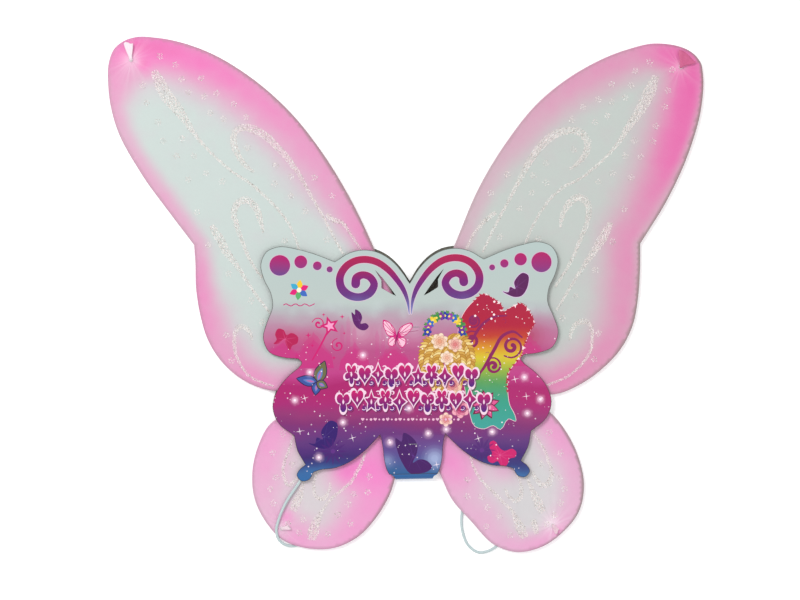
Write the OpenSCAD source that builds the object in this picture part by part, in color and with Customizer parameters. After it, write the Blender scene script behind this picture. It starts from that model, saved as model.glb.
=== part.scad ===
// Fairy wings: four nylon-covered wire loops bound at the centre, on a folded display card.
// +X is to the right, +Y is up the wings, +Z faces the viewer. z = 0 is the back of the card.

/* [Wires] */
// Diameter of the steel wire
wire_d = 2.2; // [1.8:0.1:2.4]
// Half the distance between the left and right spine wires, which are the hinge axes
spine_x = 7; // [6.5:0.1:7.5]
// Height of the wires above the resting face
wire_z = 5; // [4.9:0.05:5.1]
// Thickness of the flat body of each nylon sleeve
skin_t = 0.8; // [0.6:0.1:1.2]

/* [Centre binding] */
// Thickness of the tape binding
wrap_t = 7; // [6:0.5:7]
// Length of each of the two tape bindings along the spine
wrap_l = 16; // [12:1:18]

/* [Card] */
// Thickness of the greyboard card
card_t = 0.8; // [0.6:0.1:0.8]
// Height of the underside of the front leaf
front_z = 9.6; // [9.6:0.1:10]
// Tilt of the card on the wings, in degrees
card_tilt = 1.1; // [0:0.1:2]
// Half width of the creased middle strip of the card
crease_w = 9.3; // [9:0.1:9.4]
// Rise of the back leaf above the front leaf
back_rise = 2.5; // [0:0.5:3]

/* [Staples] */
// Width of a staple
staple_w = 9; // [8:0.5:9]
// Diameter of the staple wire
staple_d = 0.5; // [0.4:0.05:0.5]

/* [Arm loops] */
// Diameter of the round elastic
strap_d = 2.8; // [2.4:0.1:2.8]

/* [Ties] */
// Radius of the tied neck of fabric at each wing tip
neck_r = 1.4; // [1.2:0.1:1.6]
// Outer radius of a knot of elastic on a spine wire
knot_r = 2.9; // [2.5:0.1:3]

/* [Hidden] */

wire_r = wire_d / 2;
fit_gap = 0.05;       // radial clearance of a wire in its binding or tie
skin_gap = 0.15;      // between a wire and its sleeve's flat body
skin_edge_x = 12;     // where the flat body of a sleeve ends beside the spine
bent_share = 0.985;   // radius of the bent wire as a share of the straight spine's
root_overlap = 4;     // how far the gathered root of a sleeve runs under its flat body
cut_reach = 400;      // a cutting block reaches this far, past the whole object
cut_h = 30;           // height of a cutting block

// The gathered tip of a sleeve and its tie
gather_r = 6;
gather_h = 1.9;
neck_h = 3.4;
tail_z = 2.9;
tail_t = 0.8;
tie_t = 0.8;
tie_h = 0.8;

// Places along the spine
upper_wrap_y = 10;    // lower end of the upper binding
lower_wrap_y = -32;   // lower end of the lower binding
upper_knot_y = 29.5;
lower_knot_y = -35.5;
knot_l = 4;
upper_root_tie_y = 34;
lower_root_tie_y = -41;
root_tie_l = 3;
root_tie_r = 2;
upper_spine = [8.5, 40];
lower_spine = [-45, -14.5];

// Wire centre lines from the upper end of the spine round to its lower end. Each wing is a list of
// runs, and two runs meet at a corner.
upper_left_runs = [
    [[-7, 38], [-8.6, 45], [-15, 59], [-29, 91], [-41, 120], [-63, 166], [-90, 210.5], [-122, 251],
     [-162, 286], [-205.5, 311], [-255, 323.5], [-270, 324], [-282, 320.5], [-292, 312.5],
     [-296.5, 301], [-297.5, 280], [-290, 239], [-266, 193.5], [-236, 152], [-213.5, 122.5]],
    [[-213.5, 122.5], [-212.3, 105], [-211.5, 79], [-207.5, 54], [-200, 29.5], [-187, 9],
     [-167.5, -8], [-143.5, -18], [-115, -19], [-80, -12], [-45, -3], [-20, 1.5], [-11, 3],
     [-7.5, 6], [-7, 9.5]]];
upper_right_runs = [
    [[7, 38], [9.2, 46], [16, 61], [26, 85], [44, 129.5], [64, 176.5], [90, 220], [123, 261],
     [163.5, 291.5], [209.5, 312], [234, 317.5], [249, 316.7], [261, 314], [271.5, 308.5],
     [278.5, 300], [281, 287], [280, 262], [267, 212.5], [246, 166.5], [219.5, 123.5]],
    [[219.5, 123.5], [219.3, 96], [217.3, 69], [212.5, 44.5], [201, 21.5], [184, 3], [162.5, -12.5],
     [140, -22], [110, -21], [80, -13], [45, -3], [20, 1.5], [11, 3],
     [7.5, 6], [7, 9.5]]];
lower_left_runs = [
    [[-7, -15.5], [-7.5, -12], [-11, -9], [-20, -8.5], [-36, -12.5], [-65, -21], [-97, -32],
     [-122, -43], [-139.5, -53.5], [-151, -74.5], [-156.7, -100], [-154.5, -125.5], [-144, -147.3],
     [-127.5, -165], [-103.5, -173], [-78, -172.5], [-55.5, -162], [-38, -143.5], [-25, -121.5],
     [-15.5, -85], [-10, -62], [-7, -43]]];
lower_right_runs = [
    [[7, -15.5], [7.5, -12], [11, -9], [20, -8.5], [36, -11.5], [65, -17], [95, -24], [119, -33],
     [134, -44], [149, -63.5], [160, -87.5], [164.7, -112], [160, -137.5], [145, -157], [124.5, -171.5],
     [99.5, -176.5], [81.5, -171], [55.5, -145.5], [38, -125.5], [27.5, -103], [17.5, -78],
     [10.5, -60], [7, -43]]];
points_per_span = 5;

// Tied tips: place on the wing, and direction in degrees and length of the loose tail of fabric
upper_left_tip = [-276, 302.5];
upper_right_tip = [260, 295.5];
lower_left_tip = [-129, -154.5];
lower_right_tip = [135.5, -151.5];
upper_left_tail = [97, 15];
upper_right_tail = [44, 13];
lower_left_tail = [0, 7];
lower_right_tail = [305, 7];

// Half outline of the card about its own axis, from the top notch round to the bottom middle
card_x = -2.6;        // the card's axis at y = 0
card_runs = [
    [[0, 84.5], [9, 98.5], [20, 109.5], [32, 116], [45, 118], [58, 115.5], [72.5, 107]],
    [[72.5, 107], [92, 115], [110, 120.3], [127, 122.7], [139, 118], [144.8, 106], [142, 91],
     [135.5, 77], [134, 65], [139.5, 50], [143.8, 34], [138, 20], [125, 14.7], [110, 13]],
    [[110, 13], [106.8, 9.3], [110, 4.5]],
    [[110, 4.5], [121, -4.5], [131.5, -18], [135.8, -33], [131, -48.5], [115.5, -61.5]],
    [[115.5, -61.5], [112.5, -76], [105, -90]],
    [[105, -90], [111.5, -95.5], [113.6, -100], [109, -106], [102, -105], [97, -97.5]],
    [[97, -97.5], [90, -95.3], [78, -94.2], [64, -89.5], [49, -79.5], [31.5, -62.3]],
    [[31.5, -62.3], [29.3, -75], [28, -88], [24.5, -99.5], [18.5, -106.5], [0, -106.5]]];
card_slot = [[33.5, 98.3], [26.5, 90.5], [19, 80.5], [13.3, 72.4], [19, 75.2], [27.6, 80.4], [27.6, 88]];
tongue_side = 60;     // the fold's cut stays between the card's lower lobes
fold_r = (front_z + card_t) / 2;
fold_y = -106.5 + fold_r;
hinge_clear = 6.3;    // no swinging card comes nearer to its hinge axis than this
swing_x = 11.3;       // where the swinging card halves start
staple_top_pos = [0.8, 42];
staple_bottom_pos = [-1, -72];
staple_sink = 0.35;   // height of the bent legs, pressed into the back leaf
staple_gap = 0.9;     // half the gap between the ends of the bent legs
staple_dent = 0.65;   // height of the dents that the bent legs lie in

// Routes of the two arm loops, from the upper knot to the lower knot
left_route = [[-9.6, 29.5, 3.2], [-13.6, 29.1, 2.7], [-17.4, 27.9, 2.4], [-20.9, 25.9, 2.3],
    [-24, 23, 2.3], [-35, 9.5, 2.3], [-46, -2, 2.3], [-52.5, -8, 2.6], [-58, -13, 4.8],
    [-63, -19, 7.4], [-69, -27, 8], [-83, -52, 7.9], [-98, -84, 7.9], [-112, -109.5, 7.9],
    [-125, -129.5, 7.9], [-132, -146, 7.9], [-134.2, -157, 7.7], [-131.5, -166, 6.4],
    [-125, -171, 4.2], [-116, -172, 2.3], [-107, -167.5, 1.6], [-98, -158, 1.5], [-88, -142, 1.5],
    [-78, -124, 1.5], [-66, -104, 1.5], [-56, -90, 2.1], [-47, -76.5, 2.3], [-38.5, -64, 2.3],
    [-30.5, -52, 2.3], [-24, -42.8, 2.3], [-20.9, -39.3, 2.3], [-17.4, -37.1, 2.4],
    [-13.6, -35.9, 2.7], [-9.6, -35.5, 3.2]];
right_route = [[9.6, 29.5, 3.2], [13.6, 29.1, 2.7], [17.4, 27.9, 2.4], [20.9, 25.9, 2.3],
    [24, 23, 2.3], [42, 2, 2.3], [60, -22, 2.3], [77, -54, 2.3], [87, -78, 2.3], [93, -96, 2],
    [97, -113, 1.5], [100.5, -130, 1.5], [101.5, -145, 1.5], [96.5, -157, 1.5],
    [89.5, -165, 1.5], [82, -171.5, 1.5], [73.5, -177, 1.5], [63, -178.5, 1.5], [53.5, -172, 1.5],
    [48, -160, 1.5], [46.5, -147, 1.5], [48.5, -130, 1.5], [52, -110, 1.5], [50.5, -92, 1.9],
    [42, -75, 2.3], [34, -60, 2.3], [24, -42.8, 2.3], [20.9, -39.3, 2.3], [17.4, -37.1, 2.4],
    [13.6, -35.9, 2.7], [9.6, -35.5, 3.2]];
strap_rings = 40;

// Slope at point i of a path, weighted by the lengths of the two spans beside it
function slope(p, i) =
    i == 0 ? (p[1] - p[0]) / norm(p[1] - p[0]) :
    i == len(p) - 1 ? (p[i] - p[i - 1]) / norm(p[i] - p[i - 1]) :
    let (a = norm(p[i] - p[i - 1]), b = norm(p[i + 1] - p[i]))
    ((p[i] - p[i - 1]) * b / a + (p[i + 1] - p[i]) * a / b) / (a + b);
// Point at fraction t of the span after point i, on a smooth curve through the path
function span_point(p, i, t) =
    let (h = norm(p[i + 1] - p[i]), m0 = slope(p, i) * h, m1 = slope(p, i + 1) * h)
    p[i] * (2*t*t*t - 3*t*t + 1) + m0 * (t*t*t - 2*t*t + t) + p[i + 1] * (3*t*t - 2*t*t*t) + m1 * (t*t*t - t*t);
// A smooth curve through a run of points, without its last point
function curve(p, n) = [for (i = [0:len(p) - 2], k = [0:n - 1]) span_point(p, i, k / n)];
// Runs joined end to end, each corner once
function runs(r, n) = concat([for (p = r) each curve(p, n)], [r[len(r) - 1][len(r[len(r) - 1]) - 1]]);
// Direction along a path at point i
function along(p, i) = let (d = p[min(i + 1, len(p) - 1)] - p[max(i - 1, 0)]) d / norm(d);
// A flat path moved sideways by d, to its right when d is positive
function beside(p, d) = [for (i = [0:len(p) - 1]) let (t = along(p, i)) p[i] + d * [t[1], -t[0]]];
function mirrored(p) = [for (i = [len(p) - 1:-1:0]) [-p[i][0], p[i][1]]];
function raised(p, z) = [for (q = p) [q[0], q[1], z]];

// A tube swept along a path in space
module tube(path, r, sides) {
    rings = [for (i = [0:len(path) - 1])
        let (t = along(path, i), u = cross([0, 0, 1], t) / norm(cross([0, 0, 1], t)), v = cross(t, u))
        [for (k = [0:sides - 1]) path[i] + r * (cos(360 * k / sides) * u + sin(360 * k / sides) * v)]];
    last = len(path) - 1;
    polyhedron(
        [for (ring = rings) each ring],
        concat([[for (k = [0:sides - 1]) k]],
            [for (i = [0:last - 1], k = [0:sides - 1])
                [i * sides + k, (i + 1) * sides + k, (i + 1) * sides + (k + 1) % sides,
                 i * sides + (k + 1) % sides]],
            [[for (k = [sides - 1:-1:0]) last * sides + k]]));
}

// The straight spine is a true cylinder that turns in the bindings; the loop is one bent wire
module wire_loop(wing_runs, spine, side) {
    path = raised(runs(wing_runs, points_per_span), wire_z);
    union() {
        tube(path, wire_r * bent_share, 10);
        translate([side * spine_x, spine[1], wire_z]) rotate([90, 0, 0])
            cylinder(h = spine[1] - spine[0], r = wire_r, $fn = 48);
    }
}

// A sleeve: its flat body inside the wire, the gathered cone, the tied neck and the loose tail
module sleeve(wing_runs, side, tip, tail, root_y) {
    body = beside(runs(wing_runs, points_per_span), side * (wire_r + skin_gap));
    body_top = wire_z + skin_t / 2;
    root_end_x = skin_edge_x + root_overlap;
    difference() {
        translate([0, 0, wire_z - skin_t / 2]) linear_extrude(skin_t) polygon(body);
        translate([side < 0 ? -skin_edge_x : -cut_reach, -cut_reach, -1])
            cube([cut_reach + skin_edge_x, 2 * cut_reach, cut_h]);
    }
    translate([side < 0 ? -root_end_x : spine_x + root_tie_r, root_y, wire_z - skin_t / 2])
        cube([root_end_x - spine_x - root_tie_r, root_tie_l, skin_t]);
    translate([tip[0], tip[1], body_top - 0.1]) {
        cylinder(h = gather_h, r1 = gather_r, r2 = neck_r, $fn = 48);
        cylinder(h = neck_h, r = neck_r, $fn = 48);
        translate([0, 0, tail_z]) rotate([0, 0, tail[0]]) linear_extrude(tail_t)
            polygon([[-1, -1], [tail[1], -tail[1] / 3], [tail[1], tail[1] / 3], [-1, 1]]);
    }
}

// Thread wound round the neck of a gathered tip
module tip_tie(tip) {
    translate([tip[0], tip[1], wire_z + skin_t / 2 + gather_h]) difference() {
        cylinder(h = tie_h, r = neck_r + tie_t, $fn = 48);
        translate([0, 0, -1]) cylinder(h = 3, r = neck_r + fit_gap, $fn = 48);
    }
}

// A sleeve of thread or elastic round a spine wire
module spine_ring(side, y, length, outer_r) {
    translate([side * spine_x, y + length, wire_z]) rotate([90, 0, 0]) difference() {
        cylinder(h = length, r = outer_r, $fn = 48);
        translate([0, 0, -1]) cylinder(h = length + 2, r = wire_r + fit_gap, $fn = 48);
    }
}

module strap(route) {
    whole = runs([route], 8);
    step = (len(whole) - 1) / (strap_rings - 1);
    tube([for (i = [0:strap_rings - 1]) whole[round(i * step)]], strap_d / 2, 8);
}

module strap_knots(side) {
    for (y = [upper_knot_y, lower_knot_y])
        spine_ring(side, y - knot_l / 2, knot_l, knot_r);
}

module binding(y) {
    translate([0, y + wrap_l, wire_z]) rotate([90, 0, 0]) difference() {
        linear_extrude(wrap_l) {
            for (side = [-1, 1]) translate([side * spine_x, 0]) circle(r = wrap_t / 2, $fn = 64);
            square([2 * spine_x, wrap_t], center = true);
        }
        for (side = [-1, 1]) translate([side * spine_x, 0, -1])
            cylinder(h = wrap_l + 2, r = wire_r + fit_gap, $fn = 48);
    }
}

module card_shape() {
    half = runs(card_runs, 4);
    polygon(concat(half, mirrored(half)));
}

module card_slots() {
    for (side = [0, 1]) mirror([side, 0]) polygon(card_slot);
}

// Both leaves of the card and the round fold that joins them below the tongue
module whole_card() {
    translate([card_x, 0, 0]) rotate([0, 0, card_tilt]) {
        difference() {
            union() {
                translate([0, 0, front_z]) linear_extrude(card_t) difference() {
                    card_shape();
                    card_slots();
                }
                linear_extrude(card_t) {
                    translate([0, back_rise]) card_shape();
                    polygon([[-24, -80], [24, -80], [23, -106.5], [-23, -106.5]]);
                }
            }
            translate([-tongue_side, fold_y - 20, -1]) cube([2 * tongue_side, 20, 20]);
        }
        intersection() {
            translate([-tongue_side, fold_y, fold_r]) rotate([0, 90, 0]) difference() {
                cylinder(h = 2 * tongue_side, r = fold_r, $fn = 64);
                translate([0, 0, -1]) cylinder(h = 2 * tongue_side + 2, r = fold_r - card_t, $fn = 64);
            }
            translate([0, 0, -1]) linear_extrude(20) polygon(
                [[-22, fold_y], [-18.5, -103.5], [-17, -107.5], [18, -107.5], [20, -103.5], [24, fold_y]]);
        }
    }
}

// One swinging half of the card, cut back so that it clears the middle strip as it folds
module card_half(side) {
    difference() {
        whole_card();
        translate([side < 0 ? -swing_x : -cut_reach, -cut_reach, -1])
            cube([cut_reach + swing_x, 2 * cut_reach, cut_h]);
        translate([side * spine_x, cut_reach, wire_z]) rotate([90, 0, 0])
            cylinder(h = 2 * cut_reach, r = hinge_clear, $fn = 96);
    }
}

module staple(pos) {
    leg_x = (staple_w - staple_d) / 2;
    top = front_z + card_t + staple_d / 2;
    translate([pos[0], pos[1], 0]) {
        translate([-leg_x, 0, top]) rotate([0, 90, 0])
            cylinder(h = 2 * leg_x, r = staple_d / 2, $fn = 16);
        for (side = [-1, 1]) {
            translate([side * leg_x, 0, staple_sink])
                cylinder(h = top - staple_sink, r = staple_d / 2, $fn = 16);
            translate([side * leg_x, 0, top]) sphere(r = staple_d / 2, $fn = 16);
            translate([side * leg_x, 0, staple_sink]) sphere(r = staple_d / 2, $fn = 16);
            translate([side < 0 ? -leg_x : staple_gap, 0, staple_sink]) rotate([0, 90, 0])
                cylinder(h = leg_x - staple_gap, r = staple_d / 2, $fn = 16);
        }
    }
}

// Holes for the legs of a staple and the dents that its bent ends press into the back leaf
module staple_holes(pos) {
    leg_x = (staple_w - staple_d) / 2;
    translate([pos[0], pos[1], 0]) {
        for (side = [-1, 1]) translate([side * leg_x, 0, -1])
            cylinder(h = 20, r = staple_d / 2 + fit_gap, $fn = 16);
        translate([-leg_x - staple_d, -staple_d / 2 - fit_gap, -1])
            cube([2 * leg_x + 2 * staple_d, staple_d + 2 * fit_gap, 1 + staple_dent]);
    }
}

module upper_wrap() {
    color("ghostwhite") binding(upper_wrap_y);
}

module lower_wrap() {
    color("ghostwhite") binding(lower_wrap_y);
}

module card_spine() {
    color("thistle") difference() {
        intersection() {
            whole_card();
            translate([-crease_w, -cut_reach, -1]) cube([2 * crease_w, 2 * cut_reach, cut_h]);
        }
        staple_holes(staple_top_pos);
        staple_holes(staple_bottom_pos);
    }
}

module staple_top() {
    color("silver") staple(staple_top_pos);
}

module staple_bottom() {
    color("silver") staple(staple_bottom_pos);
}

module upper_left_wire() {
    color("gainsboro") wire_loop(upper_left_runs, upper_spine, -1);
}

module lower_left_wire() {
    color("gainsboro") wire_loop(lower_left_runs, lower_spine, -1);
}

module upper_right_wire() {
    color("gainsboro") wire_loop(upper_right_runs, upper_spine, 1);
}

module lower_right_wire() {
    color("gainsboro") wire_loop(lower_right_runs, lower_spine, 1);
}

module upper_left_skin() {
    color("hotpink") sleeve(upper_left_runs, -1, upper_left_tip, upper_left_tail, upper_root_tie_y);
}

module lower_left_skin() {
    color("pink") sleeve(lower_left_runs, -1, lower_left_tip, lower_left_tail, lower_root_tie_y);
}

module upper_right_skin() {
    color("hotpink") sleeve(upper_right_runs, 1, upper_right_tip, upper_right_tail, upper_root_tie_y);
}

module lower_right_skin() {
    color("pink") sleeve(lower_right_runs, 1, lower_right_tip, lower_right_tail, lower_root_tie_y);
}

module upper_left_tip_tie() {
    color("white") tip_tie(upper_left_tip);
}

module lower_left_tip_tie() {
    color("white") tip_tie(lower_left_tip);
}

module upper_right_tip_tie() {
    color("white") tip_tie(upper_right_tip);
}

module lower_right_tip_tie() {
    color("white") tip_tie(lower_right_tip);
}

module upper_left_root_tie() {
    color("white") spine_ring(-1, upper_root_tie_y, root_tie_l, root_tie_r);
}

module lower_left_root_tie() {
    color("white") spine_ring(-1, lower_root_tie_y, root_tie_l, root_tie_r);
}

module upper_right_root_tie() {
    color("white") spine_ring(1, upper_root_tie_y, root_tie_l, root_tie_r);
}

module lower_right_root_tie() {
    color("white") spine_ring(1, lower_root_tie_y, root_tie_l, root_tie_r);
}

module left_strap() {
    color("azure") strap(left_route);
}

module right_strap() {
    color("azure") strap(right_route);
}

module left_strap_knots() {
    color("azure") strap_knots(-1);
}

module right_strap_knots() {
    color("azure") strap_knots(1);
}

module card_left() {
    color("mediumvioletred") card_half(-1);
}

module card_right() {
    color("mediumvioletred") card_half(1);
}

upper_wrap();
lower_wrap();
card_spine();
staple_top();
staple_bottom();
upper_left_wire();
lower_left_wire();
upper_left_skin();
lower_left_skin();
upper_left_tip_tie();
lower_left_tip_tie();
upper_left_root_tie();
lower_left_root_tie();
left_strap();
left_strap_knots();
card_left();
upper_right_wire();
lower_right_wire();
upper_right_skin();
lower_right_skin();
upper_right_tip_tie();
lower_right_tip_tie();
upper_right_root_tie();
lower_right_root_tie();
right_strap();
right_strap_knots();
card_right();
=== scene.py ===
"""Fairy wings: nylon sleeves on wire loops, glitter, elastic arm loops, a folded printed card."""

import math
import random

import bmesh
import bpy
import numpy as np
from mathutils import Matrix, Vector, geometry, noise


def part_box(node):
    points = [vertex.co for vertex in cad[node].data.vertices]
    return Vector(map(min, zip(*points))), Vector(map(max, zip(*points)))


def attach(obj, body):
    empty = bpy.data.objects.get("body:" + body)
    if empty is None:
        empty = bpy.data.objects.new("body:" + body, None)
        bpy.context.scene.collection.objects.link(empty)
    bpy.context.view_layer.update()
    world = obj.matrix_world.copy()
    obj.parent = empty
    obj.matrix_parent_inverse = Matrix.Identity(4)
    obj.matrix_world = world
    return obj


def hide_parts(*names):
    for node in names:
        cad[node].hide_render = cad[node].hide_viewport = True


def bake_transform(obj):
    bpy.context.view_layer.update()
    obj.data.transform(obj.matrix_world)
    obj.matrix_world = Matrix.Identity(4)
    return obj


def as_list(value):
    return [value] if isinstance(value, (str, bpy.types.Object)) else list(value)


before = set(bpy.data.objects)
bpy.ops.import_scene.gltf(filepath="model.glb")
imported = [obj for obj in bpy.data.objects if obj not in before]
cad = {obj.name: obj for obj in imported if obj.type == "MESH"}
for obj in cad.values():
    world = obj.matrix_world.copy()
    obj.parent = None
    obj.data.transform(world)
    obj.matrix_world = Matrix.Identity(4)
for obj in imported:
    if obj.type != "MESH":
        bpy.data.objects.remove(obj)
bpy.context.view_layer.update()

MM = 0.001
SIDES = ("left", "right")
LEVELS = ("upper", "lower")
WIRE_Z = 5.0  # plane of the wires
SLEEVE_R = 1.28  # half a sleeve's thickness on its wire
WEB_Z = 0.5  # half its thickness out in the web
KNOT_REACH = 28.0  # how far the rings of points reach from a tied tip


def rgb(r, g, b):
    """Linear colour from display values, 0 to 255."""
    return tuple(c / 3294.6 if c <= 10 else ((c / 255 + 0.055) / 1.055) ** 2.4 for c in (r, g, b))


# ---------------------------------------------------------------- camera and light

CAMERA_HEIGHT = 1.7
VIEW_WIDTH = 0.7808
SENSOR = 36
AIM = (0, 0.05, 0)

camera = bpy.data.objects.new("camera", bpy.data.cameras.new("camera"))
bpy.context.collection.objects.link(camera)
bpy.context.scene.camera = camera
camera.data.sensor_width = SENSOR
camera.data.lens = SENSOR * CAMERA_HEIGHT / VIEW_WIDTH
camera.location = (-0.0137, 0.0683, CAMERA_HEIGHT + 0.006)


def area_light(name, place, size, power):
    lamp = bpy.data.lights.new(name, "AREA")
    lamp.shape = "DISK"
    lamp.size = size
    lamp.energy = power
    holder = bpy.data.objects.new(name, lamp)
    holder.location = place
    holder.rotation_euler = (Vector(AIM) - Vector(place)).to_track_quat("-Z", "Y").to_euler()
    bpy.context.collection.objects.link(holder)


area_light("key", (-0.9, 0.9, 1.9), 0.9, 26)
area_light("fill", (0.9, -0.2, 2.0), 1.6, 10)
world = bpy.data.worlds.new("world")
bpy.context.scene.world = world
world.use_nodes = True
world.node_tree.nodes["Background"].inputs["Color"].default_value = (1, 1, 1, 1)
world.node_tree.nodes["Background"].inputs["Strength"].default_value = 0.62
bpy.context.scene.view_settings.view_transform = "Standard"


# ---------------------------------------------------------------- materials


class Look:
    """A Principled material, with short ways to add nodes to it."""

    def __init__(self, name, **values):
        self.material = bpy.data.materials.new(name)
        self.material.use_nodes = True
        self.tree = self.material.node_tree
        self.shader = self.tree.nodes["Principled BSDF"]
        for socket, value in values.items():
            self.shader.inputs[socket.replace("_", " ")].default_value = value
        self.place = self.node("TexCoord").outputs["Object"]

    def node(self, kind, inputs=None, **settings):
        made = self.tree.nodes.new("ShaderNode" + kind)
        for key, value in settings.items():
            setattr(made, key, value)
        for key, value in (inputs or {}).items():
            self.set(made.inputs[key], value)
        return made

    def set(self, socket, value):
        if isinstance(value, bpy.types.NodeSocket):
            self.tree.links.new(value, socket)
        elif hasattr(socket.default_value, "__len__") and len(socket.default_value) == 4:
            socket.default_value = (*value[:3], 1)
        else:
            socket.default_value = value

    def noise(self, scale, detail=2.0, stretch=(1, 1, 1)):
        spread = self.node("Mapping", {"Vector": self.place, "Scale": stretch}).outputs[0]
        made = self.node("TexNoise", {"Vector": spread, "Scale": scale, "Detail": detail})
        return made.outputs["Fac"]

    def wave(self, scale, axis):
        made = self.node("TexWave", {"Vector": self.place, "Scale": scale}, bands_direction=axis)
        return made.outputs["Fac"]

    def maths(self, operation, a, b=0.0, c=0.0):
        return self.node("Math", {0: a, 1: b, 2: c}, operation=operation).outputs[0]

    def mix(self, fac, a, b):
        return self.node("Mix", {0: fac, 6: a, 7: b}, data_type="RGBA").outputs[2]

    def ramp(self, fac, stops):
        made = self.node("ValToRGB", {"Fac": fac})
        bar = made.color_ramp.elements
        while len(bar) < len(stops):
            bar.new(0.5)
        for element, (at, colour) in zip(bar, stops):
            element.position = at
            element.color = (*colour[:3], 1)
        return made.outputs["Color"]

    def attribute(self, name, output="Fac"):
        return self.node("Attribute", attribute_name=name).outputs[output]

    def ribs(self, pitch, turns):
        """Fine ribs that wind round a tube, from -1 to 1."""
        wound = self.maths("MULTIPLY", self.attribute("wrap"), turns)
        return self.maths("SINE", self.maths("MULTIPLY_ADD", self.attribute("rib"), pitch, wound))

    def bump(self, height, strength, distance):
        made = self.node("Bump", {"Height": height, "Strength": strength, "Distance": distance})
        self.set(self.shader.inputs["Normal"], made.outputs[0])

    def colour(self, value):
        self.set(self.shader.inputs["Base Color"], value)


def nylon(name, web, edge, deep):
    """Sheer knit, sprayed: web is the bare colour, edge the spray, deep where it is thickest."""
    look = Look(
        name, Roughness=0.5, Alpha=0.8, Sheen_Weight=0.25,
        Sheen_Roughness=0.4, Specular_IOR_Level=0.35
    )
    paint = look.attribute("paint")
    for scale, detail, amount in ((60, 4, 0.16), (900, 2, 0.10)):
        speckle = look.maths("SUBTRACT", look.noise(scale, detail), 0.5)
        paint = look.maths("MULTIPLY_ADD", speckle, amount, paint)
    half = tuple((a + b) / 2 for a, b in zip(web, edge))
    base = look.ramp(paint, [(0.0, web), (0.45, half), (0.85, edge), (1.0, deep)])
    knit = look.maths("MULTIPLY", look.wave(420, "X"), look.wave(560, "Y"))
    base = look.mix(look.maths("MULTIPLY", knit, 0.10), base, rgb(255, 250, 252))
    base = look.mix(look.attribute("shine"), base, rgb(252, 238, 246))
    # Darker along the rims: the wire showing through, and painted shade on the rounded edges and on
    # the sides away from the light
    rim = look.maths("MULTIPLY", look.attribute("rim"), 0.75)
    look.colour(look.mix(rim, base, rgb(142, 126, 120)))
    look.bump(look.maths("ADD", knit, look.noise(240, 3)), 0.10, 0.0003)
    return look.material


def metal(name, colour, roughness, grain):
    look = Look(name, Metallic=1.0)
    streak = look.noise(900, 3, grain)
    dark = tuple(c * 0.72 for c in colour)
    look.colour(look.ramp(streak, [(0.25, dark), (0.75, colour)]))
    look.set(look.shader.inputs["Roughness"], look.maths("MULTIPLY_ADD", streak, 0.2, roughness))
    look.bump(streak, 0.08, 0.0001)
    return look.material


def braid(name, light, dark, pitch):
    """Round braided elastic: two crossing sets of ribs, with painted shade in the grooves between
    them.
    """
    look = Look(name, Roughness=0.6, Sheen_Weight=0.3)
    crossed = look.maths("MULTIPLY", look.ribs(pitch, 25.13), look.ribs(pitch, -25.13))
    weave = look.maths("MULTIPLY_ADD", crossed, 0.5, 0.5)
    # The dark colour is painted shade in the weave's grooves; the light one is the elastic's own
    look.colour(look.ramp(weave, [(0.1, dark), (0.7, light)]))
    look.bump(weave, 0.35, 0.0002)
    return look.material


def thread(name, light, dark):
    look = Look(name, Roughness=0.7)
    twist = look.maths("MULTIPLY_ADD", look.ribs(5200, 12.57), 0.5, 0.5)
    # The dark colour is painted shade in the twist's grooves; the light one is the thread's own
    look.colour(look.ramp(twist, [(0.0, dark), (0.8, light)]))
    look.bump(twist, 0.4, 0.0001)
    return look.material


def cloth_tape(name):
    look = Look(name, Roughness=0.75)
    weave = look.maths("MULTIPLY", look.wave(900, "X"), look.wave(900, "Y"))
    stain = look.noise(120, 4)
    look.colour(look.ramp(stain, [(0.3, rgb(214, 216, 212)), (0.7, rgb(240, 240, 238))]))
    look.bump(look.maths("MULTIPLY_ADD", stain, 2.0, weave), 0.3, 0.0002)
    return look.material


def glitter(name):
    """Fine flakes in clear glue, pearly, each flake a tint of its own; the grey tints are painted
    shade and the near-whites partly painted highlight.
    """
    look = Look(
        name, Roughness=0.32, Specular_IOR_Level=0.5, Coat_Weight=0.25, Coat_Roughness=0.15
    )
    # Tints: pearly whites, pinks and greens of the flakes' own, greys that are painted shade, and
    # near-whites that are partly painted highlight
    tints = [
        (0.0, rgb(146, 138, 132)),
        (0.16, rgb(196, 186, 180)),
        (0.36, rgb(244, 234, 228)),
        (0.5, rgb(206, 204, 198)),
        (0.64, rgb(253, 249, 244)),
        (0.8, rgb(240, 216, 218)),
        (0.9, rgb(226, 234, 230)),
        (1.0, rgb(255, 255, 254)),
    ]
    look.colour(look.ramp(look.attribute("grain"), tints))
    look.bump(look.noise(2500, 2), 0.2, 0.0001)
    return look.material


# Colours of the print from the bottom of the card up to its top notch, by height in mm
PRINT_BANDS = [
    (-112, (30, 100, 160)), (-100, (49, 98, 154)), (-92, (44, 50, 116)), (-84, (56, 28, 104)),
    (-76, (74, 34, 112)), (-68, (91, 45, 116)), (-61, (105, 42, 116)), (-53, (123, 37, 107)),
    (-45, (140, 44, 108)), (-35, (160, 28, 108)), (-25, (167, 20, 102)), (-15, (165, 20, 102)),
    (-4, (184, 56, 128)), (8, (180, 66, 126)), (20, (176, 75, 128)), (29, (182, 98, 140)),
    (37, (178, 110, 145)), (45, (176, 131, 156)), (53, (174, 156, 168)), (60, (172, 176, 178)),
    (68, (178, 190, 186)), (118, (174, 190, 187)),
]


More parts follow.
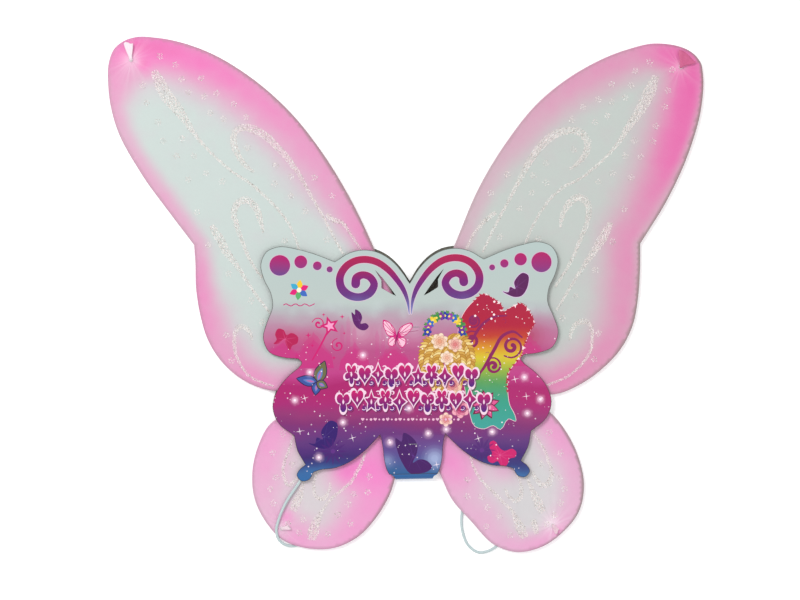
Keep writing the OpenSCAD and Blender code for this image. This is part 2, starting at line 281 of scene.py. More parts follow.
def printed_card(name):
    """Coated card: drifting bands of colour, under the ink that the faces carry."""
    look = Look(name, Roughness=0.36, Specular_IOR_Level=0.28)
    low, high = PRINT_BANDS[0][0] * MM, PRINT_BANDS[-1][0] * MM
    height = look.node("SeparateXYZ", {"Vector": look.place}).outputs["Y"]
    cloud = look.maths("SUBTRACT", look.noise(22, 5, (1, 1.8, 1)), 0.5)
    height = look.maths("MULTIPLY_ADD", cloud, 0.020, height)
    fac = look.maths("DIVIDE", look.maths("SUBTRACT", height, low), high - low)
    bands = look.ramp(fac, [((y * MM - low) / (high - low), rgb(*c)) for y, c in PRINT_BANDS])
    base = look.mix(look.attribute("ink", "Alpha"), bands, look.attribute("ink", "Color"))
    screen = look.maths("MULTIPLY", look.noise(3000, 1), 0.05)
    look.colour(look.mix(screen, base, rgb(90, 60, 80)))
    look.bump(look.noise(260, 3), 0.06, 0.0003)
    return look.material


def greyboard(name, light, dark):
    look = Look(name, Roughness=0.85)
    fibre = look.noise(700, 5, (1, 1, 6))
    look.colour(look.ramp(fibre, [(0.3, dark), (0.7, light)]))
    look.bump(fibre, 0.25, 0.0002)
    return look.material


# ---------------------------------------------------------------- shapes


def mesh_object(name, points, faces, looks, smooth=True):
    """A mesh from points in mm."""
    mesh = bpy.data.meshes.new(name)
    mesh.from_pydata([tuple(c * MM for c in p) for p in points], [], faces)
    for look in looks:
        mesh.materials.append(look)
    mesh.shade_smooth() if smooth else mesh.shade_flat()
    made = bpy.data.objects.new(name, mesh)
    bpy.context.collection.objects.link(made)
    return made


def set_values(made, name, values):
    held = made.data.attributes.new(name, "FLOAT", "POINT")
    held.data.foreach_set("value", np.asarray(values, np.float32))


def fasten(piece, body, slot, *nodes):
    """A piece rides on a body and may stand for CAD nodes, which it hides; slot is not used."""
    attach(piece, body)
    if nodes:
        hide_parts(*nodes)


def polar(x, y, r, turn):
    return (x + r * math.cos(turn), y + r * math.sin(turn))


def pairs(loop):
    """Each point of a closed loop with the next."""
    return zip(loop, loop[1:] + loop[:1])


def lengths(line):
    """How far along a line each of its points lies."""
    return np.r_[0, np.cumsum(np.linalg.norm(np.diff(line, axis=0), axis=1))]


def headings(line):
    """The unit direction of a line at each of its points."""
    along = np.gradient(line, axis=0)
    return along / np.linalg.norm(along, axis=1)[:, None]


def normals(p):
    """The unit direction out of an anticlockwise closed outline at each of its points."""
    along = np.roll(p, -1, axis=0) - np.roll(p, 1, axis=0)
    along /= np.maximum(np.linalg.norm(along, axis=1), 1e-6)[:, None]
    return np.stack([along[:, 1], -along[:, 0]], 1)


def skin(rows, cols, flip=False):
    """Quads over rows of points, where each row closes on itself."""
    faces = []
    for i in range(rows - 1):
        for k in range(cols):
            a, b = i * cols + k, i * cols + (k + 1) % cols
            faces.append((a, a + cols, b + cols, b) if flip else (a, b, b + cols, a + cols))
    return faces


def smooth_curve(points, per_span):
    """The curve through the points that the CAD source draws through the same ones."""
    p = np.array(points, float)
    gaps = np.linalg.norm(np.diff(p[:, :3], axis=0), axis=1)
    slopes = [(p[1] - p[0]) / gaps[0]]
    for i in range(1, len(p) - 1):
        a, b = gaps[i - 1], gaps[i]
        slopes.append(((p[i] - p[i - 1]) * b / a + (p[i + 1] - p[i]) * a / b) / (a + b))
    slopes.append((p[-1] - p[-2]) / gaps[-1])
    out = []
    for i, h in enumerate(gaps):
        for k in range(per_span):
            t = k / per_span
            out.append(
                p[i] * (2 * t**3 - 3 * t * t + 1)
                + slopes[i] * h * (t**3 - 2 * t * t + t)
                + p[i + 1] * (3 * t * t - 2 * t**3)
                + slopes[i + 1] * h * (t**3 - t * t)
            )
    out.append(p[-1])
    return np.array(out)


def tube(name, path, radius, look, sides=12):
    """A round tube along a path, with the lengths that its weave follows."""
    path = np.array(path, float)
    along = headings(path)
    side = np.cross([0, 0, 1], along[0])
    if np.linalg.norm(side) < 0.1:
        side = np.cross([1, 0, 0], along[0])
    points, ribs, wraps = [], [], []
    for p, t, s in zip(path, along, lengths(path)):
        side = side - t * (side @ t)
        side /= np.linalg.norm(side)
        up = np.cross(t, side)
        for k in range(sides):
            turn = 2 * math.pi * k / sides
            points.append(p + radius * (math.cos(turn) * side + math.sin(turn) * up))
            ribs.append(s * MM)
            wraps.append(abs(2 * k / sides - 1))
    last = (len(path) - 1) * sides
    faces = skin(len(path), sides)
    faces += [tuple(range(sides - 1, -1, -1)), tuple(range(last, last + sides))]
    made = mesh_object(name, points, faces, [look])
    set_values(made, "rib", ribs)
    set_values(made, "wrap", wraps)
    return made


def flat_loops(node, z):
    """The closed outlines, longest first, of a CAD node's faces at height z."""
    mesh = cad[node].data
    edges = set()
    for face in mesh.polygons:
        corners = [mesh.vertices[i].co for i in face.vertices]
        if all(abs(c.z / MM - z) < 0.02 for c in corners):
            keys = [(round(c.x / MM, 3), round(c.y / MM, 3)) for c in corners]
            edges.update((a, b) for a, b in pairs(keys) if a != b)
    onward = {a: b for a, b in edges if (b, a) not in edges}
    loops = []
    while onward:
        start, point = onward.popitem()
        loop = [start]
        while point != start and point in onward:
            loop.append(point)
            point = onward.pop(point)
        loops.append(loop)
    return sorted(loops, key=around, reverse=True)


def around(loop):
    return sum(math.dist(a, b) for a, b in pairs(loop))


def opened(loop):
    """A closed loop as a line that starts after its longest gap."""
    gaps = [math.dist(a, b) for a, b in pairs(loop)]
    start = gaps.index(max(gaps)) + 1
    return loop[start:] + loop[:start]


def signed_area(loop):
    p = np.array(loop, float)
    q = np.roll(p, -1, axis=0)
    return 0.5 * float(np.sum(p[:, 0] * q[:, 1] - q[:, 0] * p[:, 1]))


def anticlockwise(loop):
    return list(loop) if signed_area(loop) > 0 else list(reversed(loop))


def inside(points, loop):
    """Which of many points lie in a closed outline."""
    x, y = points[:, 0], points[:, 1]
    hit = np.zeros(len(points), bool)
    p = np.array(loop, float)
    for (ax, ay), (bx, by) in zip(p, np.roll(p, -1, axis=0)):
        if ay != by:
            hit ^= ((ay > y) != (by > y)) & (x < (bx - ax) * (y - ay) / (by - ay) + ax)
    return hit


def distances(points, line):
    """Every distance from points to the points of a line, some thousands of points at a time."""
    for start in range(0, len(points), 4000):
        part = slice(start, start + 4000)
        yield part, np.linalg.norm(points[part][:, None, :] - line[None, :, :], axis=2)


def nearest(points, line):
    """Distance from each point to a line of close points, and the index of the nearest."""
    far = np.zeros(len(points))
    which = np.zeros(len(points), int)
    for part, gap in distances(points, line):
        which[part] = gap.argmin(1)
        far[part] = gap.min(1)
    return far, which


# ---------------------------------------------------------------- the two arm loops

STRAP_R = 1.4
elastic = braid("braided_elastic", rgb(206, 220, 220), rgb(138, 160, 164), 2600)
ROUTES = {
    "left": [
        (-9.6, 29.5, 3.2), (-13.6, 29.1, 2.7), (-17.4, 27.9, 2.4), (-20.9, 25.9, 2.3),
        (-24, 23, 2.3), (-35, 9.5, 2.3), (-46, -2, 2.3), (-52.5, -8, 2.6), (-58, -13, 4.8),
        (-63, -19, 7.4), (-69, -27, 8), (-83, -52, 7.9), (-98, -84, 7.9), (-112, -109.5, 7.9),
        (-125, -129.5, 7.9), (-132, -146, 7.9), (-134.2, -157, 7.7), (-131.5, -166, 6.4),
        (-125, -171, 4.2), (-116, -172, 2.3), (-107, -167.5, 1.6), (-98, -158, 1.5),
        (-88, -142, 1.5), (-78, -124, 1.5), (-66, -104, 1.5), (-56, -90, 2.1), (-47, -76.5, 2.3),
        (-38.5, -64, 2.3), (-30.5, -52, 2.3), (-24, -42.8, 2.3), (-20.9, -39.3, 2.3),
        (-17.4, -37.1, 2.4), (-13.6, -35.9, 2.7), (-9.6, -35.5, 3.2),
    ],
    "right": [
        (9.6, 29.5, 3.2), (13.6, 29.1, 2.7), (17.4, 27.9, 2.4), (20.9, 25.9, 2.3), (24, 23, 2.3),
        (42, 2, 2.3), (60, -22, 2.3), (77, -54, 2.3), (87, -78, 2.3), (93, -96, 2), (97, -113, 1.5),
        (100.5, -130, 1.5), (101.5, -145, 1.5), (96.5, -157, 1.5), (89.5, -165, 1.5),
        (82, -171.5, 1.5), (73.5, -177, 1.5), (63, -178.5, 1.5), (53.5, -172, 1.5), (48, -160, 1.5),
        (46.5, -147, 1.5), (48.5, -130, 1.5), (52, -110, 1.5), (50.5, -92, 1.9), (42, -75, 2.3),
        (34, -60, 2.3), (24, -42.8, 2.3), (20.9, -39.3, 2.3), (17.4, -37.1, 2.4),
        (13.6, -35.9, 2.7), (9.6, -35.5, 3.2),
    ],
}
for side in SIDES:
    route = smooth_curve(ROUTES[side], 8)
    strap = tube(f"{side}_arm_loop", route, STRAP_R, elastic)
    fasten(strap, f"{side}_wings", "elastic", f"{side}_strap")
    [c * MM for c in ROUTES[side][0]]


# ---------------------------------------------------------------- knots, ties and bindings


def coil(x, y_low, y_high, reach, turns, tail=()):
    """A helix round a spine wire, which may end in a loose tail: steps along x and y."""
    steps = int(turns * 20)
    line = []
    for i in range(steps + 1):
        t = i / steps
        across, height = polar(x, WIRE_Z, reach, 2 * math.pi * turns * t)
        line.append((across, y_low + (y_high - y_low) * t, height))
    if tail:
        x1, y1, z1 = line[-1]
        line += [(x1 + tail[0] * k, y1 + tail[1] * k / 4, z1 + 0.1 * k) for k in range(1, 5)]
    return line


def cad_box_mm(node):
    return tuple(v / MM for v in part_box(node))


THREAD_R = 0.3
cotton = thread("cotton_thread", rgb(244, 242, 242), rgb(188, 184, 186))
for side in SIDES:
    body = f"{side}_wings"
    for level in LEVELS:
        node = f"{level}_{side}_root_tie"
        low, high = cad_box_mm(node)
        wound = coil(
            (low.x + high.x) / 2, low.y + 0.3, high.y - 0.3, 1.5, 6, (THREAD_R * 0.3, 1.5)
        )
        tie = tube(f"{level}_{side}_root_winding", wound, THREAD_R, cotton, 6)
        fasten(tie, body, "thread", node)
    node = f"{side}_strap_knots"
    low, high = cad_box_mm(node)
    for at, y, nodes in (("top", high.y - 2, [node]), ("bottom", low.y + 2, [])):
        wound = coil((low.x + high.x) / 2, y - 1.3, y + 1.3, 2.1, 2)
        fasten(tube(f"{side}_loop_knot_{at}", wound, 1.0, elastic, 10), body, "elastic", *nodes)

TAPE_ROWS, TAPE_COLS, TAPE_PITCH = 49, 56, 4.2
tape = cloth_tape("cloth_tape")
for level in LEVELS:
    node = f"{level}_wrap"
    low, high = cad_box_mm(node)
    reach_x, radius = high.x - 3.5, (high.z - low.z) / 2
    points = []
    for i in range(TAPE_ROWS):
        y = low.y + (high.y - low.y) * i / (TAPE_ROWS - 1)
        for k in range(TAPE_COLS):
            turn = 2 * math.pi * k / TAPE_COLS
            c, s = math.cos(turn), math.sin(turn)
            lap = (y / TAPE_PITCH + turn / (2 * math.pi)) % 1.0
            fall = 0.12 * lap + 0.12 * noise.noise(Vector((turn * 2, y * 0.4, 3)))
            grow = radius - 0.3 + fall
            dip = 0.5 * math.exp(-((c / 0.35) ** 2)) * abs(s)
            points.append((reach_x * math.tanh(3.2 * c) + grow * c, y, WIRE_Z + (grow - dip) * s))
    faces = skin(TAPE_ROWS, TAPE_COLS, flip=True)
    count = len(points)
    faces += [tuple(range(TAPE_COLS)), tuple(range(count - 1, count - TAPE_COLS - 1, -1))]
    binding = mesh_object(f"{level}_tape_binding", points, faces, [tape])
    fasten(binding, "centre", "tape", node)


# ---------------------------------------------------------------- wings

DEEP = rgb(228, 92, 168)
# Colour of the bare web and of the spray on each wing
CLOTH = {
    "upper_left": ((199, 211, 207), (233, 114, 184)),
    "upper_right": ((193, 201, 196), (228, 108, 174)),
    "lower_left": ((216, 208, 212), (243, 130, 202)),
    "lower_right": ((213, 210, 212), (242, 132, 202)),
}
NYLONS = {
    key: nylon(f"nylon_{key}", rgb(*web), rgb(*spray), DEEP)
    for key, (web, spray) in CLOTH.items()
}
# Spray round each rim: share of the way round from the spine's upper end, strength, width in mm,
# and how much thinner it lies on the wire itself
SPRAY = {
    "upper_left": [
        (0, 0.6, 15, 0), (0.12, 0.7, 20, 0), (0.16, 0.64, 28, 0), (0.2, 0.62, 37, 0),
        (0.24, 0.64, 40, 0), (0.28, 0.72, 40, 0.1), (0.36, 0.86, 39, 0.15), (0.44, 0.98, 36, 0.1),
        (0.48, 0.68, 36, 0), (0.52, 0.54, 15, 0), (0.56, 0.48, 13, 0), (0.6, 0.5, 14, 0),
        (0.64, 0.54, 14, 0), (0.68, 0.5, 13, 0), (0.72, 0.7, 18, 0), (0.76, 0.66, 26, 0),
        (0.8, 0.58, 31, 0), (0.84, 0.66, 24, 0), (1, 0.66, 21, 0),
    ],
    "upper_right": [
        (0, 0.36, 14, 0), (0.12, 0.34, 14, 0), (0.16, 0.3, 15, 0), (0.2, 0.34, 17, 0),
        (0.24, 0.42, 23, 0), (0.28, 0.5, 28, 0), (0.34, 0.58, 31, 0), (0.4, 0.62, 29, 0),
        (0.44, 0.95, 27, 0.15), (0.48, 1.05, 36, 0.25), (0.52, 0.95, 44, 0.4),
        (0.56, 0.92, 44, 0.45), (0.6, 0.75, 42, 0.4), (0.64, 0.66, 38, 0.35),
        (0.68, 0.68, 37, 0.35), (0.72, 0.64, 38, 0.25), (0.76, 0.64, 36, 0.15),
        (0.8, 0.66, 30, 0.1), (0.84, 0.72, 31, 0.1), (1, 0.66, 30, 0),
    ],
    "lower_left": [
        (0, 0.6, 27, 0), (0.32, 0.62, 33, 0), (0.36, 0.55, 36, 0), (0.4, 0.48, 36, 0),
        (0.44, 0.42, 30, 0), (0.52, 0.42, 30, 0), (0.56, 0.6, 27, 0), (0.6, 0.52, 21, 0),
        (0.64, 0.58, 24, 0), (0.68, 0.64, 30, 0), (0.72, 0.64, 36, 0), (0.76, 0.7, 38, 0),
        (0.8, 0.75, 48, 0), (0.84, 0.8, 54, 0), (1, 0.75, 50, 0),
    ],
    "lower_right": [
        (0, 0.6, 27, 0), (0.32, 0.62, 27, 0), (0.36, 0.55, 24, 0), (0.4, 0.5, 22, 0),
        (0.48, 0.5, 22, 0), (0.52, 0.52, 18, 0), (0.56, 0.62, 15, 0), (0.6, 0.52, 18, 0),
        (0.64, 0.5, 21, 0), (0.68, 0.46, 27, 0), (0.72, 0.44, 30, 0), (0.76, 0.46, 33, 0),
        (0.8, 0.52, 38, 0), (0.84, 0.6, 38, 0), (0.88, 0.75, 42, 0), (1, 0.75, 40, 0),
    ],
}
# Extra puffs of spray: x, y, radius, strength
PUFFS = {
    "upper_left": [(-264, 299, 6, 0.9), (-262, 290, 11, 0.3)],
    "upper_right": [(263, 298, 9, 0.8), (252, 300, 14, 0.35)],
    "lower_left": [(-66, -98, 17, 0.75), (-46, -100, 14, 0.4), (-124, -144, 7, 0.5)],
    "lower_right": [(140, -157, 5, 0.8), (88, -96, 14, 0.4), (46, -92, 18, 0.4)],
}
# White of the gathered cloth at each tip: strength, and radius in mm
GATHER = {
    "upper_left": (0.62, 8),
    "upper_right": (0.4, 6),
    "lower_left": (0.45, 5),
    "lower_right": (0.85, 7),
}
# How much wire lies hidden before and after the part that each sleeve shows
LEAD_IN = {"upper": (15, 9), "lower": (9, 27)}
SPINE_CLEAR = 11.5
PLEATS = 26
TIE_R = 1.4
GRID_STEP, RING_STEP, RING_GROWTH = 3.1, 0.62, 1.13
EDGE_BENDS = 7


def evened(loop, gap):
    """The outline with points evenly spaced, keeping its sharp corner."""
    p = np.array(loop, float)
    corners = [0]
    for i in range(1, len(p) - 1):
        a, b = p[i] - p[i - 1], p[i + 1] - p[i]
        if abs(math.atan2(a[0] * b[1] - a[1] * b[0], float(a @ b))) > 0.5:
            corners.append(i)
    corners.append(len(p) - 1)
    out = []
    for i, j in zip(corners, corners[1:]):
        line = smooth_curve(p[i : j + 1], 4)
        s = lengths(line)
        at = np.linspace(0, s[-1], max(1, round(s[-1] / gap)) + 1)[:-1]
        out += list(zip(np.interp(at, s, line[:, 0]), np.interp(at, s, line[:, 1])))
    out.append(tuple(p[-1]))
    return np.array(out)


class Wing:
    """One wing: the line of its wire, read from the CAD sleeve, and the cloth over it."""

    def __init__(self, level, side):
        self.side = side
        self.name = f"{level}_{side}"
        self.sign = -1 if side == "left" else 1
        node = f"{self.name}_skin"
        loop = flat_loops(node, cad_box_mm(node)[0].z)[0]
        cut = min(abs(p[0]) for p in loop if abs(p[0]) > SPINE_CLEAR)
        loop = [p for p in loop if abs(p[0]) > cut - 0.01]
        if signed_area(loop) * self.sign > 0:
            loop.reverse()
        wire = evened(opened(loop), 2.6)
        self.wire = wire + self.outward(wire) * 1.25
        steps = max(2, int(math.dist(self.wire[-1], self.wire[0]) / 3))
        gap = self.wire[0] - self.wire[-1]
        cut_line = [self.wire[-1] + gap * k / steps for k in range(1, steps)]
        self.loop = np.array(list(self.wire) + cut_line)
        self.low, self.high = self.loop.min(0), self.loop.max(0)
        reach = lengths(self.wire)
        first, last = LEAD_IN[level]
        self.share = (first + reach) / (first + reach[-1] + last)
        tie_low, tie_high = cad_box_mm(f"{self.name}_tip_tie")
        self.tip = np.array([(tie_low.x + tie_high.x) / 2, (tie_low.y + tie_high.y) / 2])
        self.tie = (tie_low.z, tie_high.z)
        draw = random.Random(self.name)
        self.pleats = []
        for k in range(PLEATS):
            turn = 2 * math.pi * (k + draw.uniform(-0.35, 0.35)) / PLEATS
            self.pleats.append(
                (turn, draw.uniform(0.05, 0.11), draw.uniform(0.25, 1.0), draw.uniform(7, 19))
            )

    def outward(self, line):
        along = headings(line)
        return np.stack([along[:, 1], -along[:, 0]], 1) * -self.sign

    def from_tip(self, points):
        return np.linalg.norm(points - self.tip, axis=1)

    def folds(self, points):
        """How strongly each point lies on one of the pleats that run out from the tip."""
        away = points - self.tip
        r = self.from_tip(points)
        turn = np.arctan2(away[:, 1], away[:, 0])
        total = np.zeros(len(points))
        for direction, half, depth, reach in self.pleats:
            off = np.angle(np.exp(1j * (turn - direction)))
            ridge = np.exp(-((off / half) ** 2)) * depth * np.exp(-r / reach)
            total += ridge * np.clip((r - TIE_R) / 3, 0, 1)
        return total

    def sway(self, points):
        """The slight waves of the whole cloth."""
        gap, _ = nearest(points, self.wire)
        wave = np.array([noise.noise(Vector((x / 45, y / 45, 1.7))) for x, y in points]) * 0.35
        return wave * np.clip(gap / 20, 0, 1)

    def half_thickness(self, points):
        gap, _ = nearest(points, self.wire)
        return WEB_Z + (SLEEVE_R - WEB_Z) * np.exp(-((gap / 4.5) ** 2))

    def rise(self, points):
        """Height of the top layer above the wire's plane."""
        peak = self.tie[0] + 0.1 - WIRE_Z
        cone = (peak - WEB_Z) * np.exp(-(np.maximum(self.from_tip(points) - TIE_R, 0) / 2.6))
        return self.half_thickness(points) + cone + 0.75 * self.folds(points)

    def shine(self, points):
        """Where gathered cloth shows white: round the tied tip and along its folds."""
        amount, radius = GATHER[self.name]
        halo = np.exp(-((self.from_tip(points) / radius) ** 1.5))
        return np.clip(amount * (0.8 * halo + 0.5 * self.folds(points)), 0, 0.95)

    def rim(self, points):
        """Where the wire shows through, with painted shade over the rounded edge beyond it: most on
        the sides away from the light, where a wider band of painted shade is added.
        """
        gap, which = nearest(points, self.wire)
        out = self.outward(self.wire)[which]
        # How far each rim faces away from the key light, which sets the painted shade
        away = np.clip(out @ (0.9, 0.1), 0, 1)
        beyond = np.sum((points - self.wire[which]) * out, axis=1) > 0
        line = np.where(beyond, 1.0, np.exp(-((gap / 0.9) ** 2)))
        return line * (0.3 + 0.7 * away) + 0.12 * np.exp(-((gap / 6) ** 2)) * away

    def paint(self, points):
        """How thick the spray lies."""
        stations = np.array(SPRAY[self.name]).T
        strength, width, bare = (np.interp(self.share, stations[0], row) for row in stations[1:])
        best = np.zeros(len(points))
        for part, gap in distances(points, self.wire):
            best[part] = (strength * np.exp(-((gap / width) ** 3))).max(1)
        gap, which = nearest(points, self.wire)
        best = best * (1 - bare[which] * np.exp(-((gap / 6) ** 2)))
        for x, y, radius, amount in PUFFS[self.name]:
            r = np.hypot(points[:, 0] - x, points[:, 1] - y)
            best = 1 - (1 - np.minimum(best, 0.999)) * (1 - amount * np.exp(-((r / radius) ** 2)))
        return best

    def grid(self):
        """Points inside the wing: a plain grid, and rings round the tied tip."""
        rows = []
        for j, y in enumerate(np.arange(self.low[1], self.high[1], GRID_STEP * 0.866)):
            xs = np.arange(self.low[0] + (j % 2) * GRID_STEP / 2, self.high[0], GRID_STEP)
            rows.append(np.stack([xs, np.full(len(xs), y)], 1))
        plain = np.concatenate(rows)
        plain = plain[self.from_tip(plain) > KNOT_REACH]
        rings = []
        r = TIE_R
        while r < KNOT_REACH:
            count = int(min(110, max(20, 2 * math.pi * r / RING_STEP)))
            turn = np.arange(count) * 2 * math.pi / count + r
            rings.append(self.tip + r * np.stack([np.cos(turn), np.sin(turn)], 1))
            r *= RING_GROWTH
        both = np.concatenate([plain] + rings)
        gap, _ = nearest(both, self.loop)
        return both[inside(both, self.loop) & (gap > 1.3)]

    def build(self):
        """The closed sleeve: a top layer, an under layer and a round edge over the wire."""
        n = len(self.loop)
        turned = signed_area(self.loop) > 0
        order = list(range(n)) if turned else list(range(n - 1, -1, -1))
        flat_points = [Vector(p) for p in np.concatenate([self.loop, self.grid()])]
        verts, _, tris, origin, _, _ = geometry.delaunay_2d_cdt(
            flat_points, list(pairs(order)), [order], 0, 1e-5, True
        )
        xy = np.array([(v.x, v.y) for v in verts])
        tris = np.array(tris)
        tris = tris[inside(xy[tris].mean(1), self.loop)]
        place = {old: new for new, olds in enumerate(origin) for old in olds}
        edge = [place[i] for i in range(n)]
        wave, under = self.sway(xy), self.half_thickness(xy)
        m = len(xy)
        points = [(x, y, WIRE_Z + z + w) for (x, y), z, w in zip(xy, self.rise(xy), wave)]
        points += [(x, y, WIRE_Z - z + w) for (x, y), z, w in zip(xy, under, wave)]
        faces = [tuple(int(i) for i in t) for t in tris]
        faces += [tuple(int(i) + m for i in reversed(t)) for t in tris]
        out = normals(self.loop) * (1 if turned else -1)
        rings = [edge]
        for k in range(1, EDGE_BENDS):
            turn = math.pi / 2 - math.pi * k / EDGE_BENDS
            rings.append(list(range(len(points), len(points) + n)))
            for i in range(n):
                size = under[edge[i]]
                spot = self.loop[i] + out[i] * size * math.cos(turn)
                points.append((spot[0], spot[1], WIRE_Z + size * math.sin(turn)))
        rings.append([i + m for i in edge])
        for upper, lower in zip(rings, rings[1:]):
            for i in range(n):
                j = (i + 1) % n
                face = (upper[i], lower[i], lower[j], upper[j])
                faces.append(face if turned else face[::-1])
        cloth = mesh_object(f"{self.name}_nylon_sleeve", points, faces, [NYLONS[self.name]])
        spots = np.array([(p[0], p[1]) for p in points])
        for name, values in (("paint", self.paint), ("shine", self.shine), ("rim", self.rim)):
            set_values(cloth, name, values(spots))
        fasten(cloth, f"{self.side}_wings", "nylon", f"{self.name}_skin")
        abs(signed_area(self.loop)) * MM * MM
        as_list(self.extras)


# ---------------------------------------------------------------- glitter

# Veins of glitter glue: points in mm with the width there
VEINS = {
    "upper_left": [
        [(-254, 292, 6), (-249, 282, 10.7), (-243, 270, 11.7), (-237, 262, 11.7), (-229, 252, 9.8),
         (-222, 242, 6.8), (-214, 230, 3.9), (-203, 217, 2.8), (-192, 206, 2.5), (-178, 194, 2.5),
         (-160, 182, 2.5), (-148, 172, 2.7), (-135, 159, 2.5), (-123, 144, 2.3), (-111, 115, 2.3)],
        [(-156, 193, 1.8), (-165, 200, 4.4), (-172, 210, 5.9), (-176, 222, 6.3), (-175, 232, 6.3),
         (-166, 237, 6.8), (-155, 234, 7.8), (-143, 227, 7.3), (-133, 217, 6.3), (-123, 206, 5.9),
         (-113, 192, 4.4), (-100, 169, 2.9), (-90, 152, 2.7), (-81, 135, 2.5), (-69, 113, 2.3)],
        [(-147, 134, 2.2), (-150, 146, 4.9), (-155, 159, 6.8), (-163, 166, 6.8), (-172, 163, 6.8),
         (-176, 154, 5.9), (-173, 141, 4.9), (-168, 126, 3.9), (-157, 102, 2.9), (-148, 90, 2.4)],
        [(-198, 141, 4.9), (-192, 132, 7.8), (-183, 115, 7.3), (-173, 102, 4.9), (-163, 86, 3.4),
         (-151, 69, 2.5), (-140, 55, 2.3)],
        [(-86, 152, 3.9), (-78, 146, 4.9), (-71, 144, 3.9), (-63, 134, 2.5), (-52, 117, 2.3)],
        [(-158, 29, 2), (-161, 38, 3.9), (-167, 42.5, 4.9), (-173, 40, 4.9), (-175, 32, 3.9),
         (-175, 20, 3.3), (-170, 6.5, 2.7), (-160, -6.5, 2.4), (-149, -12, 2.1), (-137, -16, 2)],
    ],
    "upper_right": [
        [(236, 287, 5.9), (231, 274, 11.2), (225, 261, 10.7), (218, 249, 8.8), (209, 237, 6.8),
         (202, 225, 4.4), (194, 215, 2.9), (181, 202, 2.7), (164, 188, 2.7), (147, 179, 2.7),
         (132, 166, 2.7), (120, 148, 2.5), (110, 127, 2.3), (106, 117, 2.3)],
        [(152, 196, 2), (160, 202, 3.9), (168, 212, 6.3), (169, 224, 6.8), (162, 232, 7.3),
         (152, 234, 7.3), (138, 230, 7.8), (126, 221, 7.8), (115, 207, 6.8), (106, 191, 5.4),
         (98, 176, 3.9), (89, 159, 2.9), (81, 144, 2.7), (74, 130, 2.5), (67, 115, 2.3)],
        [(143, 139, 2.3), (145, 151, 4.9), (152, 163, 6.8), (160, 169, 6.8), (169, 163, 6.8),
         (170, 149, 5.4), (163, 129, 3.9), (152, 104, 2.9), (138, 81, 2.3)],
        [(192, 144, 4.9), (186, 132, 8.8), (178, 119, 7.3), (169, 106, 4.9), (159, 91, 3.3),
         (149, 75, 2.7), (139, 58, 2.3)],
        [(80, 154, 3.4), (72, 148, 4.4), (66, 142, 2.9), (59, 134, 2.3), (51, 118, 2.1)],
        [(152, 29, 2), (154, 39, 3.9), (160, 46, 4.9), (169, 47, 4.9), (173, 41, 3.9),
         (174, 31, 3.3), (172, 18, 2.9), (164, 6, 2.5), (152, -5, 2.3), (129, -15, 2)],
    ],
    "lower_left": [
        [(-117, -64, 2.1), (-120, -72, 2.3), (-123, -81, 2.7), (-126, -89, 2.7), (-128, -97, 2.7),
         (-127, -105, 2.9), (-122, -113, 2.9), (-118, -110, 3.3), (-113, -105, 2.5)],
        [(-107, -108, 2.3), (-110, -117, 4.9), (-112, -124, 7.3), (-116, -132, 8.3),
         (-118, -138, 6.8)],
        [(-93, -98, 2.1), (-97, -106, 2.3), (-98, -114, 2.7), (-97, -121, 3.1), (-93, -126, 3.7),
         (-88, -125, 3.9), (-84, -120, 3.3), (-82, -115, 2.5), (-82, -110, 2)],
        [(-47, -80, 2.1), (-50, -87, 2.9), (-52, -93, 3.1), (-56, -100, 3.3), (-61, -109, 3.1),
         (-68, -115, 2.9), (-75, -121, 2.9), (-82, -127, 2.9), (-88, -135, 2.9), (-92, -142, 4.9),
         (-96, -149, 8.3), (-98, -157, 10.7), (-100, -166, 7.8)],
    ],
    "lower_right": [
        [(55, -84, 2.1), (58, -94, 2.5), (62, -102, 2.7), (68, -110, 2.9), (76, -118, 2.9),
         (83, -125, 2.9), (90, -132, 2.9), (96, -138, 3.3), (100, -146, 5.9), (104, -155, 9.3),
         (108, -164, 7.8)],
        [(100, -100, 2.1), (104, -111, 2.9), (105, -120, 3.9), (103, -126, 4.3), (99, -128, 3.9),
         (94, -125, 3.3), (91, -121, 2.5), (89, -116, 2)],
        [(107, -100, 2.1), (112, -110, 2.9), (116, -118, 4.9), (119, -125, 7.8), (122, -132, 8.8),
         (126, -139, 5.9)],
        [(115, -59, 2.1), (122, -70, 2.5), (128, -79, 2.7), (131, -88, 2.9), (134, -97, 3.5),
         (134, -105, 4.9), (131, -111, 5.9), (126, -113, 4.9), (121, -109, 3.9), (117, -103, 3.3),
         (116, -99, 2.3)],
        [(116, -146, 4.9), (118, -153, 5.9), (120, -160, 3.9)],
    ],
}
